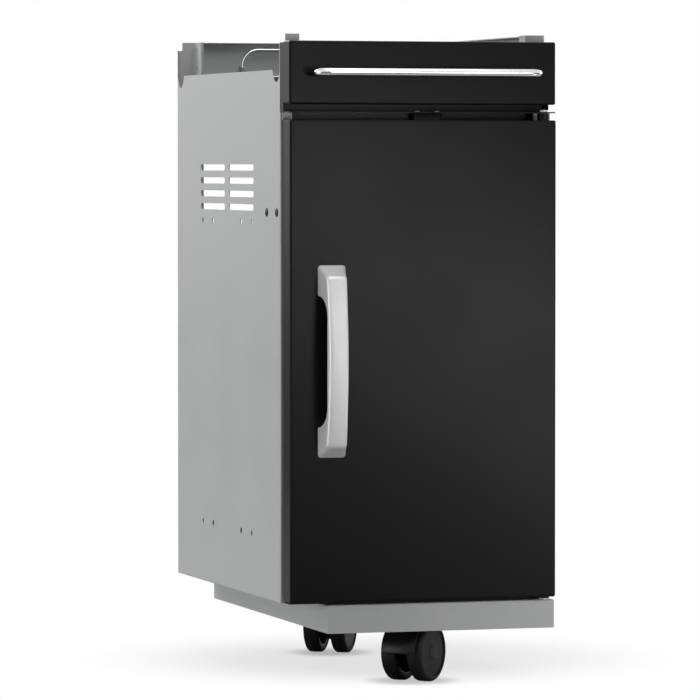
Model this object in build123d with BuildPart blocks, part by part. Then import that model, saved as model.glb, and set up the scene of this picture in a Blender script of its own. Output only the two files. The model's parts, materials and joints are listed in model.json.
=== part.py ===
"""Grill side cabinet: a folded sheet-metal box with a hinged door, on two twin-wheel casters.

Millimetres. +X is to the right, +Y to the rear, +Z up. The origin is on the floor, below the
middle of the whole object. The door's hinge is at its right edge.
"""

import os
from math import cos, radians, sin

from build123d import *

os.makedirs("parts", exist_ok=True)

# Side panels and floor
width = 350.0  # over the outer faces of the side panels
panel_depth = 500.0  # side panels, front to rear
panel_height = 713.0  # side panels, foot to post tops
sheet = 1.2  # thickness of the folded panels
bend = 2.4  # outside radius of a fold
post_face = 26.0  # width of a corner post's face
post_lip = 25.0  # depth of a corner post's return lip
post_hem = 3.8  # small return at the end of a rear post's lip
wall_drop = 45.0  # the left wall ends this far below its posts
relief_radius = 16.0  # round relief at the left wall's upper corners
corner_notch_width = 7.0  # notch at the outer top corner of the left posts
corner_notch_height = 11.0
foot_flange = 20.0  # inward flange along a side panel's foot
foot_screw_spacing = 147.0
foot_screw_count = 3
top_flange = 14.0  # inward flange along the right panel's top
flange_clearance = 4.0  # from a flange's end to the nearest post lip

# Vent slots and holes in the side panels
vent_rows = 4
vent_columns = 2
vent_length = 118.0
vent_slot = 8.0
vent_row_pitch = 17.0
vent_column_pitch = 138.0
mount_hole_radius = 4.2
mount_spacing_depth = 136.0
mount_spacing_height = 398.0
mount_lower_height = 78.0  # lower row above the panel's foot
vent_rise = 44.0  # middle of the vents above the upper row of holes
hook_hole_radius = 3.5
hook_spacing_depth = 237.0
plug_hole_radius = 4.0
plug_edge = 14.5  # first plug, from the panel's front edge
plug_spacing = 45.5
plug_rise = 13.0  # above the upper row of holes
plug_head_radius = 5.5
plug_head = 1.5
plug_stub = 5.0
plug_play = 0.1

# Base tray
base_inset = 50.0  # the base's left side, in from the left panel
base_reach = 41.0  # the base's front, ahead of the side panels
base_height = 36.0
base_clearance = 68.0  # floor to the skirt's lower edge
base_sheet = 1.5
base_lip = 10.0  # inward lip along the skirt's lower edge

# Rear panel and rear top rail
rear_panel_height = 668.0
rear_rail_height = 44.0
window_width = 291.0  # window in the rear panel
window_height = 257.0
window_sill = 382.0  # above the panel's foot
rear_tab = 22.0  # forward tab at each end, against a post lip
rear_flange = 10.0  # forward flange along an edge
rail_screw_spacing = 24.0  # up the rail's tabs
panel_screw_spacing = 176.0  # up the rear panel's tabs
panel_screw_count = 4
seam = 0.1  # between a tab and its post lip

# Front rails and fascia
rail_sheet = 1.5
header_depth = 14.5
header_drop = 2.0  # header top below the fascia's top
hinge_plate_drop = 9.0  # hinge plate below the fascia
hinge_plate_reach = 41.0  # hinge plate ahead of the side panels
bottom_rail_height = 25.0
bottom_rail_reach = 20.0
rail_end_gap = 6.0  # bottom rail, in from the panels' outer faces
bottom_screw_rise = 15.0  # above the base
stop_rail_height = 27.0  # stop rail behind the door's top edge
stop_rail_reach = 7.0
stop_end_gap = 16.0  # stop rail, in from the panels' outer faces
stop_screw_edge = 5.0  # from the stop rail's ends
stop_screw_drop = 12.0  # below the hinge plate
header_bolt_spacing = 46.0
fascia_drop = 9.5  # fascia top below the post tops
fascia_height = 79.0
fascia_setback = 2.5  # fascia face behind the door's face
fascia_lip = 14.0  # inward lip at the fascia's rear edge
fascia_screw_spacing = 217.0  # across
fascia_screw_edge = 8.4  # from the fascia's top and bottom

# Towel bar
bar_diameter = 10.0
bar_length = 300.0
bar_standoff = 32.0  # fascia face to the bar's axis
bar_bend = 13.0
bar_stud_radius = 3.0
bar_stud = 9.0  # behind the fascia's face
bar_nut_radius = 5.8
bar_nut = 5.0

# Door
door_gap = 15.0  # door back to the side panels' front edges
door_thickness = 30.0
door_lift = 3.5  # door bottom above the base
door_top_gap = 19.5  # door top to the fascia
door_edge_radius = 2.5
liner_sheet = 1.0
liner_rim = 5.0
liner_recess = 1.5
liner_corner = 2.0
pivot_inset = 12.0  # hinge axis, in from the door's right edge
hinge_pin_radius = 4.0
hinge_pin_head_radius = 7.0
hinge_pin_head = 2.5
hinge_pin_reach = 12.0  # into the door
hinge_running_clearance = 0.05
bush_radius = 6.0
bush_collar_radius = 8.0
bush_depth = 14.0
bush_play = 0.3
bottom_pin_flange = 1.2
bottom_pin_rivet_radius = 5.0
bottom_pin_rivet = 2.0
bottom_pin_shank_radius = 3.0

# Door handle
handle_length = 240.0
handle_width = 25.0  # of the front
handle_flare = 5.5  # how much wider the handle is at the door, on each side
handle_edge = 36.0  # from the door's left edge
handle_projection = 35.0  # at the middle of the bow
handle_end_projection = 25.0  # at the ends of the bow
handle_grip_gap = 24.0  # behind the grip
handle_foot = 38.0  # length of a foot on the door
handle_end_slope = 14.5  # drop of the sloped ends, door to front
handle_arch_radius = 28.0  # where a foot turns into the grip
handle_edge_radius = 3.0
handle_screw_depth = 16.0  # screw in a foot
handle_screw_end_gap = 1.5

# Magnet catch, its strike and the door buffers
catch_length = 38.0
catch_depth = 11.0
catch_offset = 14.5  # to the right of the cabinet's middle
catch_air = 0.5
catch_screw_spacing = 26.0
strike_length = 36.0
strike_height = 12.0
strike_drop = 9.0  # strike's middle below the door's top
strike_sheet = 0.8
strike_rivet_radius = 1.6
strike_rivet_spacing = 24.0
bumper_radius = 6.0
bumper_edge = 13.0  # from the door's left edge
bumper_inset = 60.0  # from the door's top and bottom
bumper_play = 0.3

# Wire hanger on the rear rail
wire_radius = 1.5
wire_width = 176.0
wire_corner = 22.0
wire_drop = 7.5  # wire top below the rail's top
wire_leg = 30.0
wire_standoff = 9.0  # rail face to the wire's axis
wire_end_bend = 4.0
clip_width = 5.0
clip_height = 3.6
clip_drop = 33.0  # clip below the rail's top
clip_wall = 1.5

# Casters
wheel_radius = 37.5
wheel_width = 20.0
wheel_offset = 18.5  # wheel's middle from the caster's middle plane
tyre_inner_radius = 31.0
tyre_edge_radius = 4.0
hub_recess = 0.6  # hub's faces in from the tyre's sides
hub_disc = 3.0  # wall of the hub's outer face
hub_boss_radius = 11.0
hub_button_radius = 8.0  # low round step in the middle of the outer face
hub_button = 0.5
hub_dish_inner = 12.0
hub_dish_outer = 25.0
hub_rim_inner = 27.0
axle_radius = 4.0
axle_end_gap = 0.5  # axle's end to the bottom of a hub's bore
axle_groove = 2.2  # groove near each axle end, for the ring in a hub's bore
axle_groove_depth = 0.6
axle_groove_inset = 4.0  # groove's middle, in from the axle's end
hub_ring = 1.6
axle_running_clearance = 0.05
caster_inset = 76.0  # stem, in from the base's front or rear edge
caster_trail = 28.0
caster_plate = 60.0
caster_plate_sheet = 2.5
caster_bolt_spacing = 44.0
kingpin_radius = 5.5
kingpin_reach = 23.0
kingpin_running_clearance = 0.05
kingpin_end_gap = 1.0
swivel_gap = 0.3  # plate to housing
sleeve_radius = 15.0
housing_web = 15.0
axle_boss_radius = 20.0
hood_gap = 1.8
hood_sheet = 2.5
hood_width = 46.0
hood_cut = 20.0  # the hood ends this far past the axle, towards the stem
front_heading = -45.0  # turn of the front caster's axle from X, degrees
rear_heading = -32.0

# Fasteners
screw_head_radius = 3.8
screw_head = 2.2
screw_radius = 2.0
screw_hole_radius = 2.2
screw_length = 9.0
bolt_head_radius = 5.8
bolt_head = 4.0
bolt_radius = 3.0
bolt_hole_radius = 3.2
nut_height = 5.0

# Places across, along and up that follow from the sizes above
half = width / 2
front_reach = handle_projection + door_thickness + door_gap
panel_front = front_reach - (front_reach + panel_depth) / 2
panel_rear = panel_front + panel_depth
panel_middle = (panel_front + panel_rear) / 2
door_back = panel_front - door_gap
door_front = door_back - door_thickness
fascia_front = door_front + fascia_setback
header_front = panel_front - header_depth
fascia_depth = header_front - fascia_front

base_top = base_clearance + base_height
panel_foot = base_top + sheet
panel_top = panel_foot + panel_height
wall_top = panel_top - wall_drop
upper_row = panel_foot + mount_lower_height + mount_spacing_height
fascia_top = panel_top - fascia_drop
fascia_bottom = fascia_top - fascia_height
header_top = fascia_top - header_drop
hinge_plate_top = fascia_bottom - hinge_plate_drop
hinge_plate_bottom = hinge_plate_top - rail_sheet
door_bottom = base_top + door_lift
door_top = fascia_bottom - door_top_gap
door_height = door_top - door_bottom
door_middle = (door_bottom + door_top) / 2

base_width = width - base_inset
base_depth = panel_depth + base_reach
base_x = base_inset / 2
base_front = panel_front - base_reach
base_y = base_front + base_depth / 2

lip_face = half - post_face
post_x = half - post_face / 2
flange_length = panel_depth - 2 * (post_lip + flange_clearance)
rear_half = lip_face - seam
rear_web = panel_rear - sheet
pivot_x = half - pivot_inset
pivot_y = (door_front + door_back) / 2

AT_BOTTOM = (Align.CENTER, Align.CENTER, Align.MIN)
AT_TOP = (Align.CENTER, Align.CENTER, Align.MAX)


def folded_section(plane, points, thickness, side):
    """Section of a folded sheet. The points follow its outer face."""
    with BuildSketch(plane) as section:
        with BuildLine():
            FilletPolyline(*points, radius=bend)
            offset(amount=thickness, side=side)
        make_face()
    return section.sketch


def side_panel_section():
    """Plan section of the left side panel: wall, two corner posts and their return lips."""
    points = [
        (-lip_face, panel_front + post_lip),
        (-lip_face, panel_front),
        (-half, panel_front),
        (-half, panel_rear),
        (-lip_face, panel_rear),
        (-lip_face, panel_rear - post_lip),
        (-lip_face + post_hem, panel_rear - post_lip),
    ]
    return folded_section(Plane.XY.offset(panel_foot), points, sheet, Side.RIGHT)


def rear_section(foot):
    """Plan section of a rear piece: web between the posts, with a forward tab at each end."""
    points = [
        (-rear_half, panel_rear - rear_tab),
        (-rear_half, panel_rear),
        (rear_half, panel_rear),
        (rear_half, panel_rear - rear_tab),
    ]
    return folded_section(Plane.XY.offset(foot), points, sheet, Side.RIGHT)


def bore(planes, radius, depth):
    """Round holes through the part in hand, centred on each plane."""
    with Locations(*planes):
        Cylinder(radius, depth, mode=Mode.SUBTRACT)


def screws(seats, length):
    """Pan-head screws: each head stands on its seat plane, the shank goes in behind it."""
    with Locations(*seats):
        Cylinder(screw_head_radius, screw_head, align=AT_BOTTOM)
        Cylinder(screw_radius, length, align=AT_TOP)


def bolts(seats, grip):
    """Hexagon bolts with nuts that clamp the grip between head and nut."""
    for seat in seats:
        with BuildSketch(seat) as head:
            RegularPolygon(bolt_head_radius, 6)
        extrude(head.sketch, amount=bolt_head)
        with BuildSketch(seat.offset(-grip)) as nut:
            RegularPolygon(bolt_head_radius, 6)
        extrude(nut.sketch, amount=-nut_height)
        with Locations(seat):
            Cylinder(bolt_radius, grip + nut_height, align=AT_TOP)


def facing(points, direction):
    """Planes through the points, each looking along the direction."""
    return [Plane(origin=point, z_dir=direction) for point in points]


def moved(points, x=0, y=0, z=0):
    """The same points, shifted."""
    return [(px + x, py + y, pz + z) for px, py, pz in points]


# Where the fasteners, holes and pins sit
SIDES = (-1, 1)
RIGHT = (1, 0, 0)
LEFT = (-1, 0, 0)
FRONT = (0, -1, 0)
REAR = (0, 1, 0)
UP = (0, 0, 1)
DOWN = (0, 0, -1)

lip_screw_y = panel_rear - rear_tab / 2
rail_middle = panel_top - rear_rail_height / 2
rail_screw_heights = [rail_middle + s * rail_screw_spacing / 2 for s in SIDES]
panel_screw_start = panel_foot + (rear_panel_height - (panel_screw_count - 1) * panel_screw_spacing) / 2
panel_screw_heights = [panel_screw_start + i * panel_screw_spacing for i in range(panel_screw_count)]
lip_screw_heights = rail_screw_heights + panel_screw_heights
lip_screw_points = [(s * lip_face, lip_screw_y, z) for s in SIDES for z in lip_screw_heights]

foot_screw_x = half - foot_flange / 2
foot_screw_start = panel_middle - (foot_screw_count - 1) * foot_screw_spacing / 2
foot_screw_rows = [foot_screw_start + i * foot_screw_spacing for i in range(foot_screw_count)]
foot_screw_points = [(s * foot_screw_x, y, base_top) for s in SIDES for y in foot_screw_rows]

header_middle = (hinge_plate_top + header_top) / 2
header_bolt_heights = [header_middle + s * header_bolt_spacing / 2 for s in SIDES]
header_bolt_points = [(s * post_x, panel_front, z) for s in SIDES for z in header_bolt_heights]
bottom_screw_points = [(s * post_x, panel_front, base_top + bottom_screw_rise) for s in SIDES]
stop_screw_x = half - stop_end_gap - stop_screw_edge
stop_screw_points = [(s * stop_screw_x, panel_front, hinge_plate_bottom - stop_screw_drop) for s in SIDES]
fascia_screw_heights = (fascia_bottom + fascia_screw_edge, fascia_top - fascia_screw_edge)
fascia_screw_points = [
    (s * fascia_screw_spacing / 2, panel_front, z) for s in SIDES for z in fascia_screw_heights
]

stem_places = {"front": base_front + caster_inset, "rear": panel_rear - caster_inset}
caster_bolt_points = [
    (base_x + i * caster_bolt_spacing / 2, stem_y + j * caster_bolt_spacing / 2, base_top)
    for stem_y in stem_places.values()
    for i in SIDES
    for j in SIDES
]

plug_places = [(panel_front + plug_edge + i * plug_spacing, upper_row + plug_rise) for i in (0, 1)]
strike_z = door_top - strike_drop
catch_height = hinge_plate_bottom - (strike_z - strike_height / 2)
catch_y = door_back + catch_air + catch_depth / 2
catch_screw_points = [
    (catch_offset + s * catch_screw_spacing / 2, catch_y, hinge_plate_bottom) for s in SIDES
]
handle_x = -half + handle_edge + handle_flare + handle_width / 2
handle_screw_heights = [door_middle + s * (handle_length - handle_foot) / 2 for s in SIDES]
handle_screw_points = [(handle_x, door_front, z) for z in handle_screw_heights]


# Left side panel
with BuildPart() as left_side_panel:
    extrude(side_panel_section(), amount=panel_height)
    with Locations((-half, panel_middle, panel_foot)):
        Box(foot_flange, flange_length, sheet, align=(Align.MIN, Align.CENTER, Align.MIN))
    with BuildSketch(Plane.YZ.offset(-half)):
        with Locations((panel_middle, wall_top)):
            Rectangle(panel_depth - 2 * bend, wall_drop, align=(Align.CENTER, Align.MIN))
        relief_y = panel_depth / 2 - bend - relief_radius
        with Locations((panel_middle - relief_y, wall_top), (panel_middle + relief_y, wall_top)):
            Circle(relief_radius)
        with Locations((panel_middle, upper_row + vent_rise)):
            with GridLocations(vent_column_pitch, vent_row_pitch, vent_columns, vent_rows):
                SlotOverall(vent_length, vent_slot)
        with Locations((panel_middle, panel_foot + mount_lower_height + mount_spacing_height / 2)):
            with GridLocations(mount_spacing_depth, mount_spacing_height, 2, 2):
                Circle(mount_hole_radius)
            with GridLocations(hook_spacing_depth, mount_spacing_height, 2, 2):
                Circle(hook_hole_radius)
        with Locations(*plug_places):
            Circle(plug_hole_radius)
    extrude(amount=2 * sheet, mode=Mode.SUBTRACT)
    with Locations((-half, panel_front, panel_top), (-half, panel_rear, panel_top)):
        Box(2 * corner_notch_width, 2 * bend, 2 * corner_notch_height, mode=Mode.SUBTRACT)
    bore(facing(header_bolt_points, FRONT), bolt_hole_radius, 2 * bend)
    bore(facing(bottom_screw_points + stop_screw_points, FRONT), screw_hole_radius, 2 * bend)
    bore(facing(lip_screw_points, RIGHT), screw_hole_radius, 2 * bend)
    bore(facing(foot_screw_points, UP), screw_hole_radius, 4 * bend)
left_side_panel.part.label = "left_side_panel"
export_step(left_side_panel.part, "parts/left_side_panel.step")

# Right side panel
with BuildPart() as right_side_panel:
    extrude(mirror(side_panel_section(), about=Plane.YZ, mode=Mode.PRIVATE), amount=panel_height)
    with Locations((half, panel_middle, panel_foot)):
        Box(foot_flange, flange_length, sheet, align=(Align.MAX, Align.CENTER, Align.MIN))
    with Locations((half, panel_middle, panel_top)):
        Box(top_flange, flange_length, sheet, align=(Align.MAX, Align.CENTER, Align.MAX))
    with BuildSketch(Plane.YZ.offset(half)):
        with Locations((panel_middle, upper_row + vent_rise)):
            with GridLocations(vent_column_pitch, vent_row_pitch, vent_columns, vent_rows):
                SlotOverall(vent_length, vent_slot)
        with Locations(*plug_places):
            Circle(plug_hole_radius)
    extrude(amount=-2 * sheet, mode=Mode.SUBTRACT)
    bore(facing(header_bolt_points, FRONT), bolt_hole_radius, 2 * bend)
    bore(facing(bottom_screw_points + stop_screw_points, FRONT), screw_hole_radius, 2 * bend)
    bore(facing(lip_screw_points, RIGHT), screw_hole_radius, 2 * bend)
    bore(facing(foot_screw_points, UP), screw_hole_radius, 4 * bend)
right_side_panel.part.label = "right_side_panel"
export_step(right_side_panel.part, "parts/right_side_panel.step")

# Floor panel under the side panels
with BuildPart() as floor_panel:
    with Locations((0, panel_middle, base_top)):
        Box(width, panel_depth, sheet, align=AT_BOTTOM)
    bore(facing(caster_bolt_points, UP), bolt_hole_radius, 4 * sheet)
    bore(facing(foot_screw_points, UP), screw_hole_radius, 4 * sheet)
floor_panel.part.label = "floor_panel"
export_step(floor_panel.part, "parts/floor_panel.step")

# Base tray, open below
with BuildPart() as base_tray:
    with Locations((base_x, base_y, base_clearance)):
        Box(base_width, base_depth, base_height, align=AT_BOTTOM)
    fillet(base_tray.edges().filter_by(Axis.Z), radius=bend)
    fillet(base_tray.faces().sort_by(Axis.Z)[-1].edges(), radius=bend)
    offset(amount=-base_sheet, openings=base_tray.faces().sort_by(Axis.Z)[0])
    with BuildSketch(Plane.XY.offset(base_clearance)):
        with Locations((base_x, base_y)):
            RectangleRounded(base_width, base_depth, bend)
            Rectangle(base_width - 2 * base_lip, base_depth - 2 * base_lip, mode=Mode.SUBTRACT)
    extrude(amount=base_sheet)
    bore(facing(caster_bolt_points, UP), bolt_hole_radius, 4 * base_sheet)
    bore(facing([(pivot_x, pivot_y, base_top)], UP), bottom_pin_shank_radius, 4 * base_sheet)
base_tray.part.label = "base_tray"
export_step(base_tray.part, "parts/base_tray.step")

# Rear panel, with a window in its upper half
with BuildPart() as rear_panel:
    extrude(rear_section(panel_foot), amount=rear_panel_height)
    with Locations((0, panel_rear, panel_foot + window_sill)):
        Box(window_width, 4 * sheet, window_height, align=AT_BOTTOM, mode=Mode.SUBTRACT)
    with Locations((0, rear_web, panel_foot + rear_panel_height)):
        Box(2 * (rear_half - bend), rear_flange, sheet, align=(Align.CENTER, Align.MAX, Align.MAX))
    bore(facing(lip_screw_points, RIGHT), screw_hole_radius, 2 * bend)
rear_panel.part.label = "rear_panel"
export_step(rear_panel.part, "parts/rear_panel.step")

# Rear top rail
with BuildPart() as rear_top_rail:
    extrude(rear_section(panel_top - rear_rail_height), amount=rear_rail_height)
    with Locations((0, rear_web, panel_top)):
        Box(2 * (rear_half - bend), rear_flange, sheet, align=(Align.CENTER, Align.MAX, Align.MAX))
    bore(facing(lip_screw_points, RIGHT), screw_hole_radius, 2 * bend)
rear_top_rail.part.label = "rear_top_rail"
export_step(rear_top_rail.part, "parts/rear_top_rail.step")

# Screws of the rear pieces, heads towards the inside
rear_groups = {"rear_rail_screws": rail_screw_heights, "rear_panel_screws": panel_screw_heights}
for group, heights in rear_groups.items():
    with BuildPart() as rear_screws:
        head_x = rear_half - sheet
        screws(facing([(-head_x, lip_screw_y, z) for z in heights], RIGHT), 2 * sheet + seam)
        screws(facing([(head_x, lip_screw_y, z) for z in heights], LEFT), 2 * sheet + seam)
    rear_screws.part.label = group
    export_step(rear_screws.part, f"parts/{group}.step")

# Short screws through the side panels' foot flanges, flush below the floor
with BuildPart() as panel_foot_screws:
    screws(facing(moved(foot_screw_points, z=2 * sheet), UP), 2 * sheet)
panel_foot_screws.part.label = "panel_foot_screws"
export_step(panel_foot_screws.part, "parts/panel_foot_screws.step")

# Black plugs in the side panels' unused holes
with BuildPart() as side_plugs:
    for side in SIDES:
        with Locations(*facing([(side * half, y, z) for y, z in plug_places], (side, 0, 0))):
            Cylinder(plug_head_radius, plug_head, align=AT_BOTTOM)
            Cylinder(plug_hole_radius - plug_play, plug_stub, align=AT_TOP)
side_plugs.part.label = "side_plugs"
export_step(side_plugs.part, "parts/side_plugs.step")

# Header rail: top flange, web on the posts, and the hinge plate as its lower flange
with BuildPart() as header_rail:
    header_points = [
        (header_front, header_top),
        (panel_front, header_top),
        (panel_front, hinge_plate_bottom),
        (panel_front - hinge_plate_reach, hinge_plate_bottom),
    ]
    extrude(folded_section(Plane.YZ.offset(-half), header_points, rail_sheet, Side.RIGHT), amount=width)
    end_x = half - rail_sheet / 2
    with Locations(*[(s * end_x, panel_front - bend, hinge_plate_top) for s in SIDES]):
        Box(
            rail_sheet,
            header_depth - bend,
            header_top - hinge_plate_top - rail_sheet,
            align=(Align.CENTER, Align.MAX, Align.MIN),
        )
    bore(facing(header_bolt_points, FRONT), bolt_hole_radius, 4 * rail_sheet)
    bore(facing(fascia_screw_points, FRONT), screw_hole_radius, 4 * rail_sheet)
    bore(facing(catch_screw_points, UP), screw_hole_radius, 4 * rail_sheet)
    bore(facing([(pivot_x, pivot_y, hinge_plate_top)], UP), hinge_pin_radius, 4 * rail_sheet)
header_rail.part.label = "header_rail"
export_step(header_rail.part, "parts/header_rail.step")

# Bolts that hold the header rail on the posts
with BuildPart() as header_bolts:
    bolts(facing(moved(header_bolt_points, y=-rail_sheet), FRONT), rail_sheet + sheet)
header_bolts.part.label = "header_bolts"
export_step(header_bolts.part, "parts/header_bolts.step")

# Bottom rail, an angle on the base
rail_end = Plane.YZ.offset(-half + rail_end_gap)
rail_length = width - 2 * rail_end_gap
with BuildPart() as bottom_rail:
    bottom_points = [
        (panel_front, base_top + bottom_rail_height),
        (panel_front, base_top),
        (panel_front - bottom_rail_reach, base_top),
    ]
    extrude(folded_section(rail_end, bottom_points, rail_sheet, Side.RIGHT), amount=rail_length)
    bore(facing(bottom_screw_points, FRONT), screw_hole_radius, 4 * rail_sheet)
bottom_rail.part.label = "bottom_rail"
export_step(bottom_rail.part, "parts/bottom_rail.step")

with BuildPart() as bottom_rail_screws:
    screws(facing(moved(bottom_screw_points, y=-rail_sheet), FRONT), screw_length)
bottom_rail_screws.part.label = "bottom_rail_screws"
export_step(bottom_rail_screws.part, "parts/bottom_rail_screws.step")

# Stop rail, an angle on the posts under the hinge plate that closes the gap above the door
with BuildPart() as stop_rail:
    stop_points = [
        (panel_front, hinge_plate_bottom),
        (panel_front, hinge_plate_bottom - stop_rail_height),
        (panel_front - stop_rail_reach, hinge_plate_bottom - stop_rail_height),
    ]
    stop_end = Plane.YZ.offset(-half + stop_end_gap)
    extrude(folded_section(stop_end, stop_points, rail_sheet, Side.RIGHT), amount=width - 2 * stop_end_gap)
    bore(facing(stop_screw_points, FRONT), screw_hole_radius, 4 * rail_sheet)
stop_rail.part.label = "stop_rail"
export_step(stop_rail.part, "parts/stop_rail.step")

with BuildPart() as stop_rail_screws:
    screws(facing(moved(stop_screw_points, y=-rail_sheet), FRONT), screw_length)
stop_rail_screws.part.label = "stop_rail_screws"
export_step(stop_rail_screws.part, "parts/stop_rail_screws.step")

# Fascia: a pan, open to the rear, with a lip along its upper and lower rear edges
bar_z = (fascia_bottom + fascia_top) / 2
bar_x = (bar_length - bar_diameter) / 2
bar_points = [(s * bar_x, fascia_front, bar_z) for s in SIDES]
with BuildPart() as fascia:
    with Locations((0, fascia_front, fascia_bottom)):
        Box(width, fascia_depth, fascia_height, align=(Align.CENTER, Align.MIN, Align.MIN))
    fillet(fascia.edges().filter_by(Axis.Y), radius=bend)
    fillet(fascia.faces().sort_by(Axis.Y)[0].edges(), radius=bend)
    offset(amount=-sheet, openings=fascia.faces().sort_by(Axis.Y)[-1])
    with Locations((0, header_front, fascia_bottom)):
        Box(width - 2 * bend, sheet, fascia_lip, align=(Align.CENTER, Align.MAX, Align.MIN))
    with Locations((0, header_front, fascia_top)):
        Box(width - 2 * bend, sheet, fascia_lip, align=(Align.CENTER, Align.MAX, Align.MAX))
    bore(facing(moved(fascia_screw_points, y=-header_depth), FRONT), screw_hole_radius, 4 * sheet)
    bore(facing(bar_points, FRONT), bar_stud_radius, 4 * sheet)
fascia.part.label = "fascia"
export_step(fascia.part, "parts/fascia.step")

# Fascia screws, driven from inside the cabinet
with BuildPart() as fascia_screws:
    screws(facing(fascia_screw_points, REAR), header_depth + screw_length)
fascia_screws.part.label = "fascia_screws"
export_step(fascia_screws.part, "parts/fascia_screws.step")

# Towel bar, bent back into the fascia at both ends
with BuildPart() as towel_bar:
    with BuildLine() as bar_path:
        FilletPolyline(
            (-bar_x, fascia_front, bar_z),
            (-bar_x, fascia_front - bar_standoff, bar_z),
            (bar_x, fascia_front - bar_standoff, bar_z),
            (bar_x, fascia_front, bar_z),
            radius=bar_bend,
        )
    with BuildSketch(facing(bar_points, FRONT)[0]):
        Circle(bar_diameter / 2)
    sweep(path=bar_path.line)
    with Locations(*facing(bar_points, REAR)):
        Cylinder(bar_stud_radius, bar_stud, align=AT_BOTTOM)
towel_bar.part.label = "towel_bar"
export_step(towel_bar.part, "parts/towel_bar.step")

with BuildPart() as towel_bar_nuts:
    for seat in facing(moved(bar_points, y=sheet), REAR):
        with BuildSketch(seat):
            RegularPolygon(bar_nut_radius, 6)
            Circle(bar_stud_radius, mode=Mode.SUBTRACT)
        extrude(amount=bar_nut)
towel_bar_nuts.part.label = "towel_bar_nuts"
export_step(towel_bar_nuts.part, "parts/towel_bar_nuts.step")

# Magnet catch under the hinge plate
with BuildPart() as magnet_catch:
    with Locations((catch_offset, catch_y, hinge_plate_bottom)):
        Box(catch_length, catch_depth, catch_height, align=AT_TOP)
    fillet(magnet_catch.edges().filter_by(Axis.Z), radius=bend)
    bore(facing(catch_screw_points, UP), screw_radius, 2 * screw_length)
magnet_catch.part.label = "magnet_catch"
export_step(magnet_catch.part, "parts/magnet_catch.step")

with BuildPart() as magnet_catch_screws:
    screws(facing(moved(catch_screw_points, z=rail_sheet), UP), screw_length)
magnet_catch_screws.part.label = "magnet_catch_screws"
export_step(magnet_catch_screws.part, "parts/magnet_catch_screws.step")

# Hinge pins: the upper one hangs from the hinge plate, the lower one stands on the base
with BuildPart() as top_hinge_pin:
    with Locations((pivot_x, pivot_y, hinge_plate_top)):
        Cylinder(hinge_pin_head_radius, hinge_pin_head, align=AT_BOTTOM)
        Cylinder(hinge_pin_radius, hinge_plate_top - door_top + hinge_pin_reach, align=AT_TOP)
top_hinge_pin.part.label = "top_hinge_pin"
export_step(top_hinge_pin.part, "parts/top_hinge_pin.step")

with BuildPart() as bottom_hinge_pin:
    with Locations((pivot_x, pivot_y, base_top)):
        Cylinder(bush_collar_radius, bottom_pin_flange, align=AT_BOTTOM)
        Cylinder(hinge_pin_radius, door_lift + hinge_pin_reach, align=AT_BOTTOM)
        Cylinder(bottom_pin_shank_radius, base_sheet + bottom_pin_rivet, align=AT_TOP)
    with Locations((pivot_x, pivot_y, base_top - base_sheet)):
        Cylinder(bottom_pin_rivet_radius, bottom_pin_rivet, align=AT_TOP)
bottom_hinge_pin.part.label = "bottom_hinge_pin"
export_step(bottom_hinge_pin.part, "parts/bottom_hinge_pin.step")

# Wire hanger, an upside-down U that stands off the rear rail
wire_x = (wire_width - 2 * wire_radius) / 2
wire_top = panel_top - wire_drop - wire_radius
rail_face = rear_web
wire_y = rail_face - wire_standoff
with BuildPart() as wire_hanger:
    with BuildLine() as wire_path:
        FilletPolyline(
            (-wire_x, rail_face, wire_top - wire_leg),
            (-wire_x, wire_y, wire_top - wire_leg),
            (-wire_x, wire_y, wire_top),
            (wire_x, wire_y, wire_top),
            (wire_x, wire_y, wire_top - wire_leg),
            (wire_x, rail_face, wire_top - wire_leg),
            radius=[wire_end_bend, wire_corner, wire_corner, wire_end_bend],
        )
    with BuildSketch(facing([(-wire_x, rail_face, wire_top - wire_leg)], FRONT)[0]):
        Circle(wire_radius)
    sweep(path=wire_path.line)
wire_hanger.part.label = "wire_hanger"
export_step(wire_hanger.part, "parts/wire_hanger.step")

with BuildPart() as wire_hanger_clips:
    clip_reach = wire_standoff + wire_radius + clip_wall
    clip_points = [(s * wire_x, rail_face, panel_top - clip_drop) for s in SIDES]
    with Locations(*clip_points):
        Box(clip_width, clip_reach, clip_height, align=(Align.CENTER, Align.MAX, Align.CENTER))
    bore(facing(moved(clip_points, y=-wire_standoff), UP), wire_radius, 2 * clip_height)
wire_hanger_clips.part.label = "wire_hanger_clips"
export_step(wire_hanger_clips.part, "parts/wire_hanger_clips.step")

# Door skin: a pan, open to the rear
with BuildPart() as door_skin:
    with Locations((0, door_front, door_bottom)):
        Box(width, door_thickness, door_height, align=(Align.CENTER, Align.MIN, Align.MIN))
    fillet(door_skin.edges().filter_by(Axis.Y), radius=door_edge_radius)
    fillet(door_skin.faces().sort_by(Axis.Y)[0].edges(), radius=door_edge_radius)
    offset(amount=-sheet, openings=door_skin.faces().sort_by(Axis.Y)[-1])
    bore(facing([(pivot_x, pivot_y, z) for z in (door_bottom, door_top)], UP), bush_radius, 4 * sheet)
    bore(facing(handle_screw_points, FRONT), screw_hole_radius, 4 * sheet)
door_skin.part.label = "door_skin"
export_step(door_skin.part, "parts/door_skin.step")

# Door liner: a shallow pan that closes the skin from behind
liner_back = door_back - liner_recess
with BuildPart() as door_liner:
    with BuildSketch(Plane.XZ.offset(-liner_back)):
        with Locations((0, door_middle)):
            RectangleRounded(width - 2 * sheet, door_height - 2 * sheet, liner_corner)
    extrude(amount=liner_rim)
    offset(amount=-liner_sheet, openings=door_liner.faces().sort_by(Axis.Y)[0])
    rivet_points = [(catch_offset + s * strike_rivet_spacing / 2, liner_back, strike_z) for s in SIDES]
    bore(facing(rivet_points, REAR), strike_rivet_radius, 4 * liner_sheet)
door_liner.part.label = "door_liner"
export_step(door_liner.part, "parts/door_liner.step")

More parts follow.
